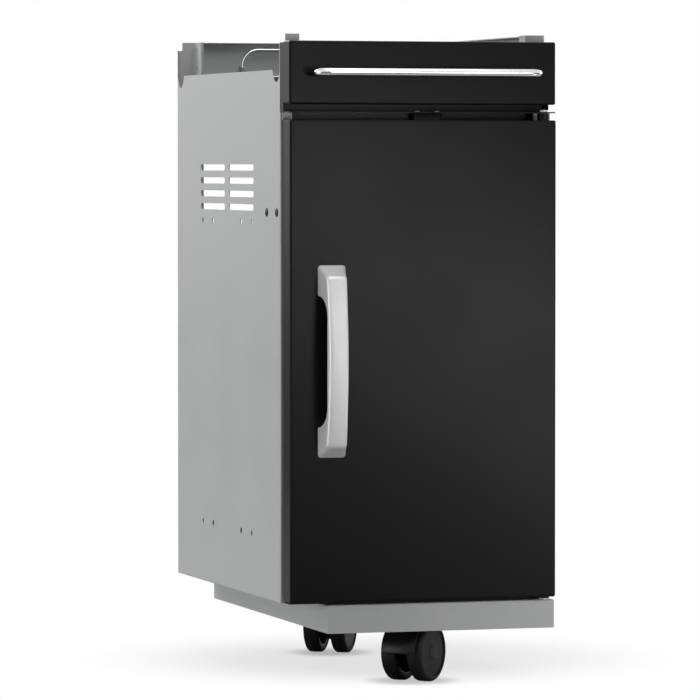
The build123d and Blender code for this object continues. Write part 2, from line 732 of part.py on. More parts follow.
# Strike plate for the magnet, riveted to the liner
with BuildPart() as strike_plate:
    with BuildSketch(Plane.XZ.offset(-liner_back)):
        with Locations((catch_offset, strike_z)):
            RectangleRounded(strike_length, strike_height, liner_corner)
            with GridLocations(strike_rivet_spacing, 0, 2, 1):
                Circle(strike_rivet_radius, mode=Mode.SUBTRACT)
    extrude(amount=-strike_sheet)
strike_plate.part.label = "strike_plate"
export_step(strike_plate.part, "parts/strike_plate.step")

with BuildPart() as strike_rivets:
    with Locations(*facing(moved(rivet_points, y=-liner_sheet), REAR)):
        Cylinder(strike_rivet_radius, liner_sheet + strike_sheet, align=AT_BOTTOM)
        Cylinder(2 * strike_rivet_radius, strike_rivet_radius, align=AT_TOP)
strike_rivets.part.label = "strike_rivets"
export_step(strike_rivets.part, "parts/strike_rivets.step")

# Rubber buffers between the door and the left post
with BuildPart() as door_bumpers:
    bumper_heights = (door_bottom + bumper_inset, door_top - bumper_inset)
    with Locations(*facing([(-half + bumper_edge, liner_back, z) for z in bumper_heights], REAR)):
        Cylinder(bumper_radius, liner_recess + door_gap - bumper_play, align=AT_BOTTOM)
    fillet(door_bumpers.faces().group_by(Axis.Y)[-1].edges(), radius=bumper_radius / 4)
door_bumpers.part.label = "door_bumpers"
export_step(door_bumpers.part, "parts/door_bumpers.step")

# Hinge bushes in the door's top and bottom
top_collar = hinge_plate_bottom - door_top - bush_play
bottom_collar = door_lift - bottom_pin_flange - bush_play
bush_places = {"top": (door_top, top_collar, UP), "bottom": (door_bottom, bottom_collar, DOWN)}
for end, (seat_z, collar, outward) in bush_places.items():
    with BuildPart() as hinge_bush:
        with Locations(*facing([(pivot_x, pivot_y, seat_z)], outward)):
            Cylinder(bush_collar_radius, collar, align=AT_BOTTOM)
            Cylinder(bush_radius, bush_depth, align=AT_TOP)
            Cylinder(hinge_pin_radius + hinge_running_clearance, 4 * bush_depth, mode=Mode.SUBTRACT)
    hinge_bush.part.label = f"{end}_hinge_bush"
    export_step(hinge_bush.part, f"parts/{end}_hinge_bush.step")

# Door handle: a bowed bar on two feet with sloped ends and sides that flare out to the door
handle_half = handle_length / 2
handle_opening = handle_half - handle_foot
grip_y = door_front - handle_grip_gap
end_y = door_front - handle_end_projection
end_z = handle_half - handle_end_slope
arch_reach = (handle_arch_radius**2 - (handle_grip_gap - handle_arch_radius) ** 2) ** 0.5
arch_z = handle_opening - arch_reach
with BuildPart() as door_handle:
    with BuildSketch(Plane.YZ.offset(handle_x)):
        with BuildLine():
            Polyline(
                (door_front, door_middle + handle_opening),
                (door_front, door_middle + handle_half),
                (end_y, door_middle + end_z),
            )
            ThreePointArc(
                (end_y, door_middle + end_z),
                (door_front - handle_projection, door_middle),
                (end_y, door_middle - end_z),
            )
            Polyline(
                (end_y, door_middle - end_z),
                (door_front, door_middle - handle_half),
                (door_front, door_middle - handle_opening),
            )
            RadiusArc(
                (door_front, door_middle - handle_opening),
                (grip_y, door_middle - arch_z),
                -handle_arch_radius,
            )
            Line((grip_y, door_middle - arch_z), (grip_y, door_middle + arch_z))
            RadiusArc(
                (grip_y, door_middle + arch_z),
                (door_front, door_middle + handle_opening),
                -handle_arch_radius,
            )
        make_face()
    extrude(amount=handle_width / 2 + handle_flare, both=True)
    with BuildSketch(Plane.XY.offset(door_middle - handle_half)):
        with BuildLine():
            left_front = (handle_x - handle_width / 2, door_front - handle_projection)
            right_front = (handle_x + handle_width / 2, door_front - handle_projection)
            left_foot = (handle_x - handle_width / 2 - handle_flare, door_front)
            right_foot = (handle_x + handle_width / 2 + handle_flare, door_front)
            TangentArc(left_front, left_foot, tangent=(0, 1))
            Line(left_foot, right_foot)
            TangentArc(right_front, right_foot, tangent=(0, 1))
            Line(right_front, left_front)
        make_face()
    extrude(amount=handle_length, mode=Mode.INTERSECT)
    free_edges = door_handle.edges().filter_by(lambda edge: edge.center().Y < door_front - handle_edge_radius)
    outer_edges = free_edges.filter_by(
        lambda edge: edge.center().Y < grip_y or abs(edge.center().Z - door_middle) > handle_opening
    )
    fillet(outer_edges, radius=handle_edge_radius)
    bore(facing(handle_screw_points, FRONT), screw_radius, 2 * (handle_screw_depth + handle_screw_end_gap))
door_handle.part.label = "door_handle"
export_step(door_handle.part, "parts/door_handle.step")

with BuildPart() as handle_screws:
    screws(facing(moved(handle_screw_points, y=sheet), REAR), sheet + handle_screw_depth)
handle_screws.part.label = "handle_screws"
export_step(handle_screws.part, "parts/handle_screws.step")

# Casters
plate_top = base_top - base_sheet
plate_bottom = plate_top - caster_plate_sheet
sleeve_top = plate_bottom - swivel_gap
hood_inner = wheel_radius + hood_gap
hood_outer = hood_inner + hood_sheet
sleeve_bottom = wheel_radius + hood_inner - hood_sheet
neck_height = sleeve_bottom + hood_sheet - wheel_radius
kingpin_foot = plate_bottom - kingpin_reach
disc_face = wheel_width / 2 - hub_recess
bore_end = disc_face - hub_disc
axle_half = wheel_offset + bore_end - axle_end_gap
groove_middle = axle_half - axle_groove_inset
ring_middle = groove_middle - wheel_offset
groove_radius = axle_radius - axle_groove_depth

with BuildPart() as caster_bolts:
    bolts(facing(moved(caster_bolt_points, z=sheet), UP), sheet + base_sheet + caster_plate_sheet)
caster_bolts.part.label = "caster_bolts"
export_step(caster_bolts.part, "parts/caster_bolts.step")

for place, heading in (("front", front_heading), ("rear", rear_heading)):
    stem_y = stem_places[place]
    axle_direction = (cos(radians(heading)), sin(radians(heading)), 0)
    stem = Plane(origin=(base_x, stem_y, 0), x_dir=axle_direction, z_dir=(0, 0, 1))
    axle_centre = stem.from_local_coords((0, -caster_trail, wheel_radius))
    across = Plane(origin=axle_centre, x_dir=stem.y_dir, z_dir=stem.x_dir)
    axle_axis = Axis(axle_centre, stem.x_dir)

    # Fixed top plate and the kingpin riveted into it
    with BuildPart() as caster_top_plate:
        with BuildSketch(Plane.XY.offset(plate_bottom)):
            with Locations((base_x, stem_y)):
                RectangleRounded(caster_plate, caster_plate, 2 * bend)
                Circle(kingpin_radius, mode=Mode.SUBTRACT)
                with GridLocations(caster_bolt_spacing, caster_bolt_spacing, 2, 2):
                    Circle(bolt_hole_radius, mode=Mode.SUBTRACT)
        extrude(amount=caster_plate_sheet)
    caster_top_plate.part.label = f"{place}_caster_plate"
    export_step(caster_top_plate.part, f"parts/{place}_caster_plate.step")

    with BuildPart() as kingpin:
        with Locations((base_x, stem_y, plate_top)):
            Cylinder(kingpin_radius, caster_plate_sheet + kingpin_reach, align=AT_TOP)
    kingpin.part.label = f"{place}_caster_kingpin"
    export_step(kingpin.part, f"parts/{place}_caster_kingpin.step")

    # Housing: a web between the wheels, a hood over them and a sleeve round the kingpin
    with BuildPart() as housing:
        with BuildSketch(across):
            Circle(hood_outer)
            Rectangle(2 * hood_outer, hood_outer, align=(Align.CENTER, Align.MAX), mode=Mode.SUBTRACT)
            Circle(axle_boss_radius)
            with Locations((caster_trail, 0)):
                Rectangle(2 * sleeve_radius, neck_height, align=(Align.CENTER, Align.MIN))
        extrude(amount=housing_web / 2, both=True)
        with BuildSketch(across):
            Circle(hood_outer)
            Circle(hood_inner, mode=Mode.SUBTRACT)
            Rectangle(2 * hood_outer, hood_outer, align=(Align.CENTER, Align.MAX), mode=Mode.SUBTRACT)
            with Locations((hood_cut, 0)):
                Rectangle(hood_outer, hood_outer, align=(Align.MIN, Align.MIN), mode=Mode.SUBTRACT)
        extrude(amount=hood_width / 2, both=True)
        with Locations(stem.offset(sleeve_bottom)):
            Cylinder(sleeve_radius, sleeve_top - sleeve_bottom, align=AT_BOTTOM)
        with Locations(stem.offset(kingpin_foot - kingpin_end_gap)):
            Cylinder(
                kingpin_radius + kingpin_running_clearance,
                kingpin_reach + kingpin_end_gap,
                align=AT_BOTTOM,
                mode=Mode.SUBTRACT,
            )
        with Locations(across):
            Cylinder(axle_radius, 2 * housing_web, mode=Mode.SUBTRACT)
    housing.part.label = f"{place}_caster_housing"
    export_step(housing.part, f"parts/{place}_caster_housing.step")

    # Axle, with a groove near each end
    with BuildPart() as axle:
        with Locations(across):
            Cylinder(axle_radius, 2 * axle_half)
        with Locations(across.offset(groove_middle), across.offset(-groove_middle)):
            Cylinder(2 * axle_radius, axle_groove, mode=Mode.SUBTRACT)
            Cylinder(groove_radius, axle_groove)
    axle.part.label = f"{place}_caster_axle"
    export_step(axle.part, f"parts/{place}_caster_axle.step")

    # Wheels: a nylon hub with a tyre moulded on, one each side of the web
    for side, sign in (("left", -1), ("right", 1)):
        wheel_centre = across.offset(sign * wheel_offset).origin
        profile = Plane(origin=wheel_centre, x_dir=stem.x_dir, z_dir=-stem.y_dir)

        with BuildPart() as hub:
            with BuildSketch(profile):
                bore_radius = axle_radius + axle_running_clearance
                ring_radius = groove_radius + axle_running_clearance
                outline = [
                    (-disc_face, bore_radius),
                    (ring_middle - hub_ring / 2, bore_radius),
                    (ring_middle - hub_ring / 2, ring_radius),
                    (ring_middle + hub_ring / 2, ring_radius),
                    (ring_middle + hub_ring / 2, bore_radius),
                    (bore_end, bore_radius),
                    (bore_end, 0),
                    (disc_face, 0),
                    (disc_face, hub_button_radius),
                    (disc_face - hub_button, hub_button_radius + hub_button),
                    (disc_face - hub_button, tyre_inner_radius),
                    (-disc_face, tyre_inner_radius),
                    (-disc_face, hub_rim_inner),
                    (bore_end - hub_button, hub_dish_outer),
                    (bore_end - hub_button, hub_dish_inner),
                    (-disc_face, hub_boss_radius),
                ]
                with BuildLine():
                    Polyline(*[(sign * along, radius) for along, radius in outline], close=True)
                make_face()
            revolve(axis=axle_axis)
        hub.part.label = f"{place}_{side}_hub"
        export_step(hub.part, f"parts/{place}_{side}_hub.step")

        with BuildPart() as tyre:
            with BuildSketch(profile) as tyre_section:
                tyre_height = wheel_radius - tyre_inner_radius
                with Locations((0, tyre_inner_radius)):
                    Rectangle(wheel_width, tyre_height, align=(Align.CENTER, Align.MIN))
                fillet(tyre_section.vertices().group_by(Axis.Y)[-1], radius=tyre_edge_radius)
            revolve(axis=axle_axis)
        tyre.part.label = f"{place}_{side}_tyre"
        export_step(tyre.part, f"parts/{place}_{side}_tyre.step")
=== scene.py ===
"""Grill side cabinet: finishes, rounded castings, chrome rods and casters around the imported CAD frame.

Lengths are in metres, in the CAD frame: +X to the right, +Y to the rear, +Z up, the floor at zero.
"""

import json
from math import acos, atan2, pi, radians, sqrt

import bmesh
import bpy
from bpy.props import FloatProperty, FloatVectorProperty, IntProperty, PointerProperty
from mathutils import Matrix, Vector


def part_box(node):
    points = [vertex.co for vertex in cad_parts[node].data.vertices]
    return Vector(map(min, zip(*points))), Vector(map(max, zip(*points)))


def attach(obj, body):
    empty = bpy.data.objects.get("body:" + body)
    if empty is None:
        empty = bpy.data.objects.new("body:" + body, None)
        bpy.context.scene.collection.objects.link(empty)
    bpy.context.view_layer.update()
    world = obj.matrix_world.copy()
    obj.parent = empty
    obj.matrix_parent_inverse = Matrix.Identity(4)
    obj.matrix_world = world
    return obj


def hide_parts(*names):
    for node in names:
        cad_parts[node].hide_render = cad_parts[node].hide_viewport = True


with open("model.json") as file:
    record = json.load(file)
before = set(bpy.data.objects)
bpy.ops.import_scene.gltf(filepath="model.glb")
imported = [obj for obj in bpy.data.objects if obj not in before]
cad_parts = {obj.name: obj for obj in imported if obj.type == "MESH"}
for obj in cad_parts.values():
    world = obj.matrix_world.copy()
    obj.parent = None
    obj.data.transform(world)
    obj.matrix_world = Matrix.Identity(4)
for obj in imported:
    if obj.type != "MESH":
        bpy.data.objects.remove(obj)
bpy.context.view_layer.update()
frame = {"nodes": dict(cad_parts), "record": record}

bl_info = {
    "name": "Grill side cabinet",
    "version": (1, 0, 0),
    "blender": (4, 5, 0),
    "location": "3D View > Sidebar > Cabinet",
    "description": "Dresses the CAD frame of a grill side cabinet",
    "category": "Object",
}

MM = 0.001
WELD = 1e-6  # points closer than this are one
NEAR = 10 * WELD
SHARP = radians(35)  # edges between faces that turn by more than this are sharp
QUARTER = radians(90)
RIGHT = Vector((1, 0, 0))
REAR = Vector((0, 1, 0))
UP = Vector((0, 0, 1))
NOISE_RANGE = {"From Min": 0.3, "From Max": 0.7}  # most of a noise pattern's values lie between these


def linear(code):
    """An sRGB hex colour as linear red, green and blue."""
    channels = [int(code[i : i + 2], 16) / 255 for i in (0, 2, 4)]
    return tuple(c / 12.92 if c <= 0.04045 else ((c + 0.055) / 1.055) ** 2.4 for c in channels)


def shade(colour, factor):
    """A property's colour, lighter or darker by a factor, for a shader socket."""
    return (*[min(1.0, c * factor) for c in colour], 1.0)


class CabinetColours(bpy.types.PropertyGroup):
    """Colours that a user would change."""

    silver_coat: FloatVectorProperty(
        name="Silver coat",
        description="Powder coat of the side panels, the base and the rear",
        subtype="COLOR",
        min=0,
        max=1,
        default=linear("B0B1B2"),
    )
    black_enamel: FloatVectorProperty(
        name="Black enamel",
        description="Enamel of the door, the fascia and the front rails",
        subtype="COLOR",
        min=0,
        max=1,
        default=linear("0E0E0F"),
    )
    handle_silver: FloatVectorProperty(
        name="Handle silver",
        description="Satin paint on the cast door handle",
        subtype="COLOR",
        min=0,
        max=1,
        default=linear("DCDCDD"),
    )
    chrome: FloatVectorProperty(
        name="Chrome",
        description="Plating of the towel bar and the wire hanger",
        subtype="COLOR",
        min=0,
        max=1,
        default=linear("DADADC"),
    )
    zinc: FloatVectorProperty(
        name="Zinc",
        description="Plating of screws, bolts, pins and plates",
        subtype="COLOR",
        min=0,
        max=1,
        default=linear("B4B5B8"),
    )
    caster_black: FloatVectorProperty(
        name="Caster black",
        description="Moulded nylon and rubber of the casters, plugs, catch and buffers",
        subtype="COLOR",
        min=0,
        max=1,
        default=linear("121213"),
    )
    floor: FloatVectorProperty(
        name="Floor",
        description="Pale studio floor",
        subtype="COLOR",
        min=0,
        max=1,
        default=linear("C4C4C3"),
    )


class CabinetSizes(bpy.types.PropertyGroup):
    """Sizes of the rounded details, and the camera's place."""

    handle_edge: FloatProperty(
        name="Handle edge",
        description="Radius of the handle's outer edges",
        unit="LENGTH",
        default=4.0 * MM,
    )
    handle_inner_edge: FloatProperty(
        name="Handle inner edge",
        description="Radius of the edges round the finger gap",
        unit="LENGTH",
        default=1.2 * MM,
    )
    handle_grip_gap: FloatProperty(
        name="Grip gap",
        description="Room for fingers behind the grip",
        unit="LENGTH",
        default=24.0 * MM,
    )
    handle_foot: FloatProperty(
        name="Handle foot",
        description="Length of a handle foot on the door",
        unit="LENGTH",
        default=38.0 * MM,
    )
    handle_arch: FloatProperty(
        name="Handle arch",
        description="Radius where a foot turns into the grip",
        unit="LENGTH",
        default=28.0 * MM,
    )
    handle_end_depth: FloatProperty(
        name="Handle end depth",
        description="How far the ends of the bow stand off the door",
        unit="LENGTH",
        default=25.0 * MM,
    )
    handle_end_slope: FloatProperty(
        name="Handle end slope",
        description="How far the sloped ends draw in from door to front",
        unit="LENGTH",
        default=14.5 * MM,
    )
    handle_flare: FloatProperty(
        name="Handle flare",
        description="How much each side of the handle widens from front to door",
        unit="LENGTH",
        default=5.5 * MM,
    )
    bar_bend: FloatProperty(
        name="Bar bend",
        description="Radius of the towel bar's bends, at its axis",
        unit="LENGTH",
        default=13.0 * MM,
    )
    wire_radius: FloatProperty(
        name="Wire radius",
        description="Half the thickness of the wire hanger",
        unit="LENGTH",
        default=1.5 * MM,
    )
    wire_corner: FloatProperty(
        name="Wire corner",
        description="Radius of the wire hanger's upper corners",
        unit="LENGTH",
        default=22.0 * MM,
    )
    wire_end_bend: FloatProperty(
        name="Wire end bend",
        description="Radius where the wire turns into the rail",
        unit="LENGTH",
        default=4.0 * MM,
    )
    tyre_shoulder: FloatProperty(
        name="Tyre shoulder",
        description="Radius of a tyre's shoulders",
        unit="LENGTH",
        default=4.0 * MM,
    )
    moulded_edge: FloatProperty(
        name="Moulded edge",
        description="Radius of the edges of moulded nylon",
        unit="LENGTH",
        default=0.8 * MM,
    )
    pressed_edge: FloatProperty(
        name="Pressed edge",
        description="Radius of the edges of bolts, nuts and plates",
        unit="LENGTH",
        default=0.35 * MM,
    )
    turned_steps: IntProperty(
        name="Turned steps",
        description="Segments round a wheel",
        min=24,
        max=192,
        default=96,
    )
    camera_place: FloatVectorProperty(
        name="Camera place",
        description="Where the camera stands",
        subtype="TRANSLATION",
        unit="LENGTH",
        default=(-1.9006, -6.2078, 0.6543),
    )
    camera_turn: FloatProperty(
        name="Camera turn",
        description="Turn of the view to the right of straight ahead",
        subtype="ANGLE",
        default=radians(16.855),
    )
    camera_dip: FloatProperty(
        name="Camera dip",
        description="How far the view looks down",
        subtype="ANGLE",
        default=radians(2.129),
    )
    camera_lens: FloatProperty(
        name="Camera lens",
        description="Focal length on a 36 mm wide sensor, in millimetres",
        unit="CAMERA",
        default=256.39,
    )


# Materials

def add_node(tree, kind, sockets=None, **settings):
    """Adds a shader node with its settings. A socket takes a value, or another node's output to link."""
    added = tree.nodes.new(kind)
    for name, value in settings.items():
        setattr(added, name, value)
    for name, value in (sockets or {}).items():
        if isinstance(value, bpy.types.NodeSocket):
            tree.links.new(value, added.inputs[name])
        else:
            added.inputs[name].default_value = value
    return added


def new_material(name):
    """An empty node material, with its tree and its Object coordinates."""
    material = bpy.data.materials.new(name)
    material.use_nodes = True
    tree = material.node_tree
    tree.nodes.clear()
    place = add_node(tree, "ShaderNodeTexCoord").outputs["Object"]
    return material, tree, place


def per_metre(size):
    """Texture scale that makes a pattern's cells about this size."""
    return 1 / size


def silver_powder_coat(colours):
    """Polyester powder coat with aluminium flake, sprayed and baked on sheet steel.

    To the eye: an even grey with a soft sheen, faint cloudiness and fine sparkle, and slight orange peel.
    """
    material, tree, place = new_material("silver_powder_coat")
    cloud_size = 90 * MM
    flake_size = 0.9 * MM  # real flake is 0.03 mm; drawn coarser so that it shows
    peel_size = 2.5 * MM
    flake_share = 0.35
    darkest, lightest = 0.975, 1.025
    cloud = add_node(
        tree, "ShaderNodeTexNoise", {"Vector": place, "Scale": per_metre(cloud_size), "Detail": 3.0}
    )
    flake = add_node(
        tree, "ShaderNodeTexNoise", {"Vector": place, "Scale": per_metre(flake_size), "Detail": 1.0}
    )
    peel = add_node(
        tree, "ShaderNodeTexNoise", {"Vector": place, "Scale": per_metre(peel_size), "Detail": 2.0}
    )
    mixed = add_node(
        tree,
        "ShaderNodeMath",
        {0: flake.outputs["Fac"], 1: flake_share, 2: cloud.outputs["Fac"]},
        operation="MULTIPLY_ADD",
    )
    tint = add_node(tree, "ShaderNodeValToRGB", {"Fac": mixed.outputs["Value"]})
    tint.color_ramp.elements[0].position = 0.35
    tint.color_ramp.elements[0].color = shade(colours.silver_coat, darkest)
    tint.color_ramp.elements[1].position = 0.95
    tint.color_ramp.elements[1].color = shade(colours.silver_coat, lightest)
    rough = add_node(
        tree,
        "ShaderNodeMapRange",
        {"Value": cloud.outputs["Fac"], **NOISE_RANGE, "To Min": 0.4, "To Max": 0.44},
    )
    bump = add_node(
        tree, "ShaderNodeBump", {"Height": peel.outputs["Fac"], "Strength": 0.12, "Distance": 0.05 * MM}
    )
    shader = add_node(
        tree,
        "ShaderNodeBsdfPrincipled",
        {
            "Base Color": tint.outputs["Color"],
            "Roughness": rough.outputs["Result"],
            "Metallic": 0.1,
            "Normal": bump.outputs["Normal"],
        },
    )
    add_node(tree, "ShaderNodeOutputMaterial", {"Surface": shader.outputs["BSDF"]})
    return material


def black_baked_enamel(colours):
    """Black enamel, sprayed on sheet steel and baked.

    To the eye: deep satin black with a soft broad sheen, slight orange peel and faint handling haze.
    """
    material, tree, place = new_material("black_baked_enamel")
    haze_size = 140 * MM
    peel_size = 3.0 * MM
    darkest, lightest = 0.9, 1.12
    haze = add_node(
        tree, "ShaderNodeTexNoise", {"Vector": place, "Scale": per_metre(haze_size), "Detail": 4.0}
    )
    peel = add_node(
        tree, "ShaderNodeTexNoise", {"Vector": place, "Scale": per_metre(peel_size), "Detail": 2.0}
    )
    tint = add_node(tree, "ShaderNodeValToRGB", {"Fac": haze.outputs["Fac"]})
    tint.color_ramp.elements[0].position = 0.3
    tint.color_ramp.elements[0].color = shade(colours.black_enamel, darkest)
    tint.color_ramp.elements[1].position = 0.75
    tint.color_ramp.elements[1].color = shade(colours.black_enamel, lightest)
    rough = add_node(
        tree,
        "ShaderNodeMapRange",
        {"Value": haze.outputs["Fac"], **NOISE_RANGE, "To Min": 0.285, "To Max": 0.32},
    )
    bump = add_node(
        tree, "ShaderNodeBump", {"Height": peel.outputs["Fac"], "Strength": 0.1, "Distance": 0.04 * MM}
    )
    shader = add_node(
        tree,
        "ShaderNodeBsdfPrincipled",
        {
            "Base Color": tint.outputs["Color"],
            "Roughness": rough.outputs["Result"],
            "Specular IOR Level": 0.09,
            "Normal": bump.outputs["Normal"],
        },
    )
    add_node(tree, "ShaderNodeOutputMaterial", {"Surface": shader.outputs["BSDF"]})
    return material


def satin_cast_silver(colours):
    """Zinc die casting, tumbled and sprayed with silver paint.

    To the eye: pale satin metal with a fine grain and rounded bright edges.
    """
    material, tree, place = new_material("satin_cast_silver")
    grain_size = 0.8 * MM  # real paint grain is finer; drawn coarser so that it shows
    wave_size = 30 * MM
    darkest, lightest = 0.92, 1.06
    grain = add_node(
        tree, "ShaderNodeTexNoise", {"Vector": place, "Scale": per_metre(grain_size), "Detail": 2.0}
    )
    wave = add_node(
        tree, "ShaderNodeTexNoise", {"Vector": place, "Scale": per_metre(wave_size), "Detail": 2.0}
    )
    tint = add_node(tree, "ShaderNodeValToRGB", {"Fac": grain.outputs["Fac"]})
    tint.color_ramp.elements[0].position = 0.25
    tint.color_ramp.elements[0].color = shade(colours.handle_silver, darkest)
    tint.color_ramp.elements[1].position = 0.75
    tint.color_ramp.elements[1].color = shade(colours.handle_silver, lightest)
    rough = add_node(
        tree,
        "ShaderNodeMapRange",
        {"Value": wave.outputs["Fac"], **NOISE_RANGE, "To Min": 0.46, "To Max": 0.54},
    )
    bump = add_node(
        tree, "ShaderNodeBump", {"Height": grain.outputs["Fac"], "Strength": 0.15, "Distance": 0.03 * MM}
    )
    shader = add_node(
        tree,
        "ShaderNodeBsdfPrincipled",
        {
            "Base Color": tint.outputs["Color"],
            "Roughness": rough.outputs["Result"],
            "Metallic": 0.45,
            "Normal": bump.outputs["Normal"],
        },
    )
    add_node(tree, "ShaderNodeOutputMaterial", {"Surface": shader.outputs["BSDF"]})
    return material


def polished_chrome(colours):
    """Bright chrome plate on drawn steel rod.

    To the eye: a mirror with a little uneven haze.
    """
    material, tree, place = new_material("polished_chrome")
    haze_size = 12 * MM
    darkest, lightest = 0.96, 1.03
    haze = add_node(
        tree, "ShaderNodeTexNoise", {"Vector": place, "Scale": per_metre(haze_size), "Detail": 3.0}
    )
    rough = add_node(
        tree,
        "ShaderNodeMapRange",
        {"Value": haze.outputs["Fac"], **NOISE_RANGE, "To Min": 0.06, "To Max": 0.11},
    )
    tint = add_node(tree, "ShaderNodeValToRGB", {"Fac": haze.outputs["Fac"]})
    tint.color_ramp.elements[0].color = shade(colours.chrome, darkest)
    tint.color_ramp.elements[1].color = shade(colours.chrome, lightest)
    shader = add_node(
        tree,
        "ShaderNodeBsdfPrincipled",
        {"Base Color": tint.outputs["Color"], "Roughness": rough.outputs["Result"], "Metallic": 1.0},
    )
    add_node(tree, "ShaderNodeOutputMaterial", {"Surface": shader.outputs["BSDF"]})
    return material


def zinc_plated_steel(colours):
    """Bright zinc plate with clear passivation on turned and pressed steel.

    To the eye: grey metal with a soft, slightly mottled gloss.
    """
    material, tree, place = new_material("zinc_plated_steel")
    mottle_size = 8 * MM
    darkest, lightest = 0.94, 1.03
    mottle = add_node(
        tree, "ShaderNodeTexNoise", {"Vector": place, "Scale": per_metre(mottle_size), "Detail": 3.0}
    )
    tint = add_node(tree, "ShaderNodeValToRGB", {"Fac": mottle.outputs["Fac"]})
    tint.color_ramp.elements[0].position = 0.3
    tint.color_ramp.elements[0].color = shade(colours.zinc, darkest)
    tint.color_ramp.elements[1].position = 0.7
    tint.color_ramp.elements[1].color = shade(colours.zinc, lightest)
    rough = add_node(
        tree,
        "ShaderNodeMapRange",
        {"Value": mottle.outputs["Fac"], **NOISE_RANGE, "To Min": 0.285, "To Max": 0.34},
    )
    shader = add_node(
        tree,
        "ShaderNodeBsdfPrincipled",
        {"Base Color": tint.outputs["Color"], "Roughness": rough.outputs["Result"], "Metallic": 1.0},
    )
    add_node(tree, "ShaderNodeOutputMaterial", {"Surface": shader.outputs["BSDF"]})
    return material


def moulded_black(name, colour, grain_size, roughness, depth):
    """Black nylon or rubber with the fine grain of its mould, polished or scuffed in patches.

    The grain is drawn several times coarser than a real mould's, so that it shows.
    """
    material, tree, place = new_material(name)
    patch_size = 14 * MM
    darkest, lightest = 0.85, 1.2
    smoothest, roughest = roughness - 0.04, roughness + 0.05
    grain = add_node(
        tree, "ShaderNodeTexNoise", {"Vector": place, "Scale": per_metre(grain_size), "Detail": 2.0}
    )
    patch = add_node(
        tree, "ShaderNodeTexNoise", {"Vector": place, "Scale": per_metre(patch_size), "Detail": 3.0}
    )
    tint = add_node(tree, "ShaderNodeValToRGB", {"Fac": patch.outputs["Fac"]})
    tint.color_ramp.elements[0].position = 0.3
    tint.color_ramp.elements[0].color = shade(colour, darkest)
    tint.color_ramp.elements[1].position = 0.75
    tint.color_ramp.elements[1].color = shade(colour, lightest)
    rough = add_node(
        tree,
        "ShaderNodeMapRange",
        {"Value": patch.outputs["Fac"], **NOISE_RANGE, "To Min": smoothest, "To Max": roughest},
    )
    bump = add_node(
        tree, "ShaderNodeBump", {"Height": grain.outputs["Fac"], "Strength": 0.25, "Distance": depth}
    )
    shader = add_node(
        tree,
        "ShaderNodeBsdfPrincipled",
        {
            "Base Color": tint.outputs["Color"],
            "Roughness": rough.outputs["Result"],
            "Specular IOR Level": 0.18,
            "Normal": bump.outputs["Normal"],
        },
    )
    add_node(tree, "ShaderNodeOutputMaterial", {"Surface": shader.outputs["BSDF"]})
    return material


def black_nylon(colours):
    """Glass-filled nylon, injection moulded: a low satin gloss over a fine spark-eroded grain."""
    return moulded_black(
        "black_nylon", colours.caster_black, grain_size=0.7 * MM, roughness=0.36, depth=0.02 * MM
    )


def tyre_rubber(colours):
    """Thermoplastic rubber tread, moulded on: matt, with faint scuffs from rolling."""
    return moulded_black(
        "tyre_rubber", colours.caster_black, grain_size=1.1 * MM, roughness=0.52, depth=0.04 * MM
    )


def buffer_rubber(colours):
    """Soft moulded rubber of the door buffers: dead matt."""
    return moulded_black(
        "buffer_rubber", colours.caster_black, grain_size=0.9 * MM, roughness=0.68, depth=0.03 * MM
    )


FINISHES = {
    "silver": silver_powder_coat,
    "black_enamel": black_baked_enamel,
    "satin_handle": satin_cast_silver,
    "chrome": polished_chrome,
    "zinc_steel": zinc_plated_steel,
    "black_plastic": black_nylon,
    "black_tyre": tyre_rubber,
    "black_rubber": buffer_rubber,
}
made_finishes = {}


def finish(slot):
    """The material of a record slot, made once."""
    if slot not in made_finishes:
        made_finishes[slot] = FINISHES[slot](bpy.context.scene.cabinet_colours)
    return made_finishes[slot]


def slot_of(node):
    """The record's material slot of a CAD node."""
    for entry in frame["record"]["subparts"]:
        if entry["node"] == node:
            return entry["material_slot"]
    raise KeyError(node)


def dress(*slots):
    """Gives the CAD nodes of these slots their finish."""
    for entry in frame["record"]["subparts"]:
        if entry["material_slot"] in slots:
            materials = frame["nodes"][entry["node"]].data.materials
            materials.clear()
            materials.append(finish(entry["material_slot"]))


# Meshes

def body_of(node):
    """The body that a CAD node belongs to."""
    for body, members in frame["record"]["behaviour"]["bodies"].items():
        if node in members:
            return body
    raise KeyError(node)


def place_piece(name, bm, node, sharp=SHARP):
    """Makes a finished piece that stands for a CAD node, with that node's body and slot."""
    mesh = bpy.data.meshes.new(name)
    bm.to_mesh(mesh)
    bm.free()
    mesh.polygons.foreach_set("use_smooth", [True] * len(mesh.polygons))
    mesh.set_sharp_from_angle(angle=sharp)
    mesh.materials.append(finish(slot_of(node)))
    piece = bpy.data.objects.new(name, mesh)
    bpy.context.scene.collection.objects.link(piece)
    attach(piece, body_of(node))
    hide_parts(node)


def eased_copy(node, radius):
    """A merged copy of a CAD node whose sharp edges are eased."""
    flat = radians(0.3)
    steps = 2
    bm = bmesh.new()
    bm.from_mesh(frame["nodes"][node].data)
    bmesh.ops.remove_doubles(bm, verts=bm.verts, dist=WELD)
    bmesh.ops.dissolve_limit(bm, angle_limit=flat, verts=bm.verts, edges=bm.edges)
    sharp = [edge for edge in bm.edges if edge.is_manifold and edge.calc_face_angle() > SHARP]
    ease(bm, sharp, radius, steps)
    return bm


def ease(bm, geom, radius, segments, affect="EDGES"):
    """Rounds edges, or the corners of a flat outline."""
    bmesh.ops.bevel(
        bm,
        geom=geom,
        offset=radius,
        offset_type="OFFSET",
        affect=affect,
        segments=segments,
        profile=0.5,
        material=-1,
        clamp_overlap=True,
    )


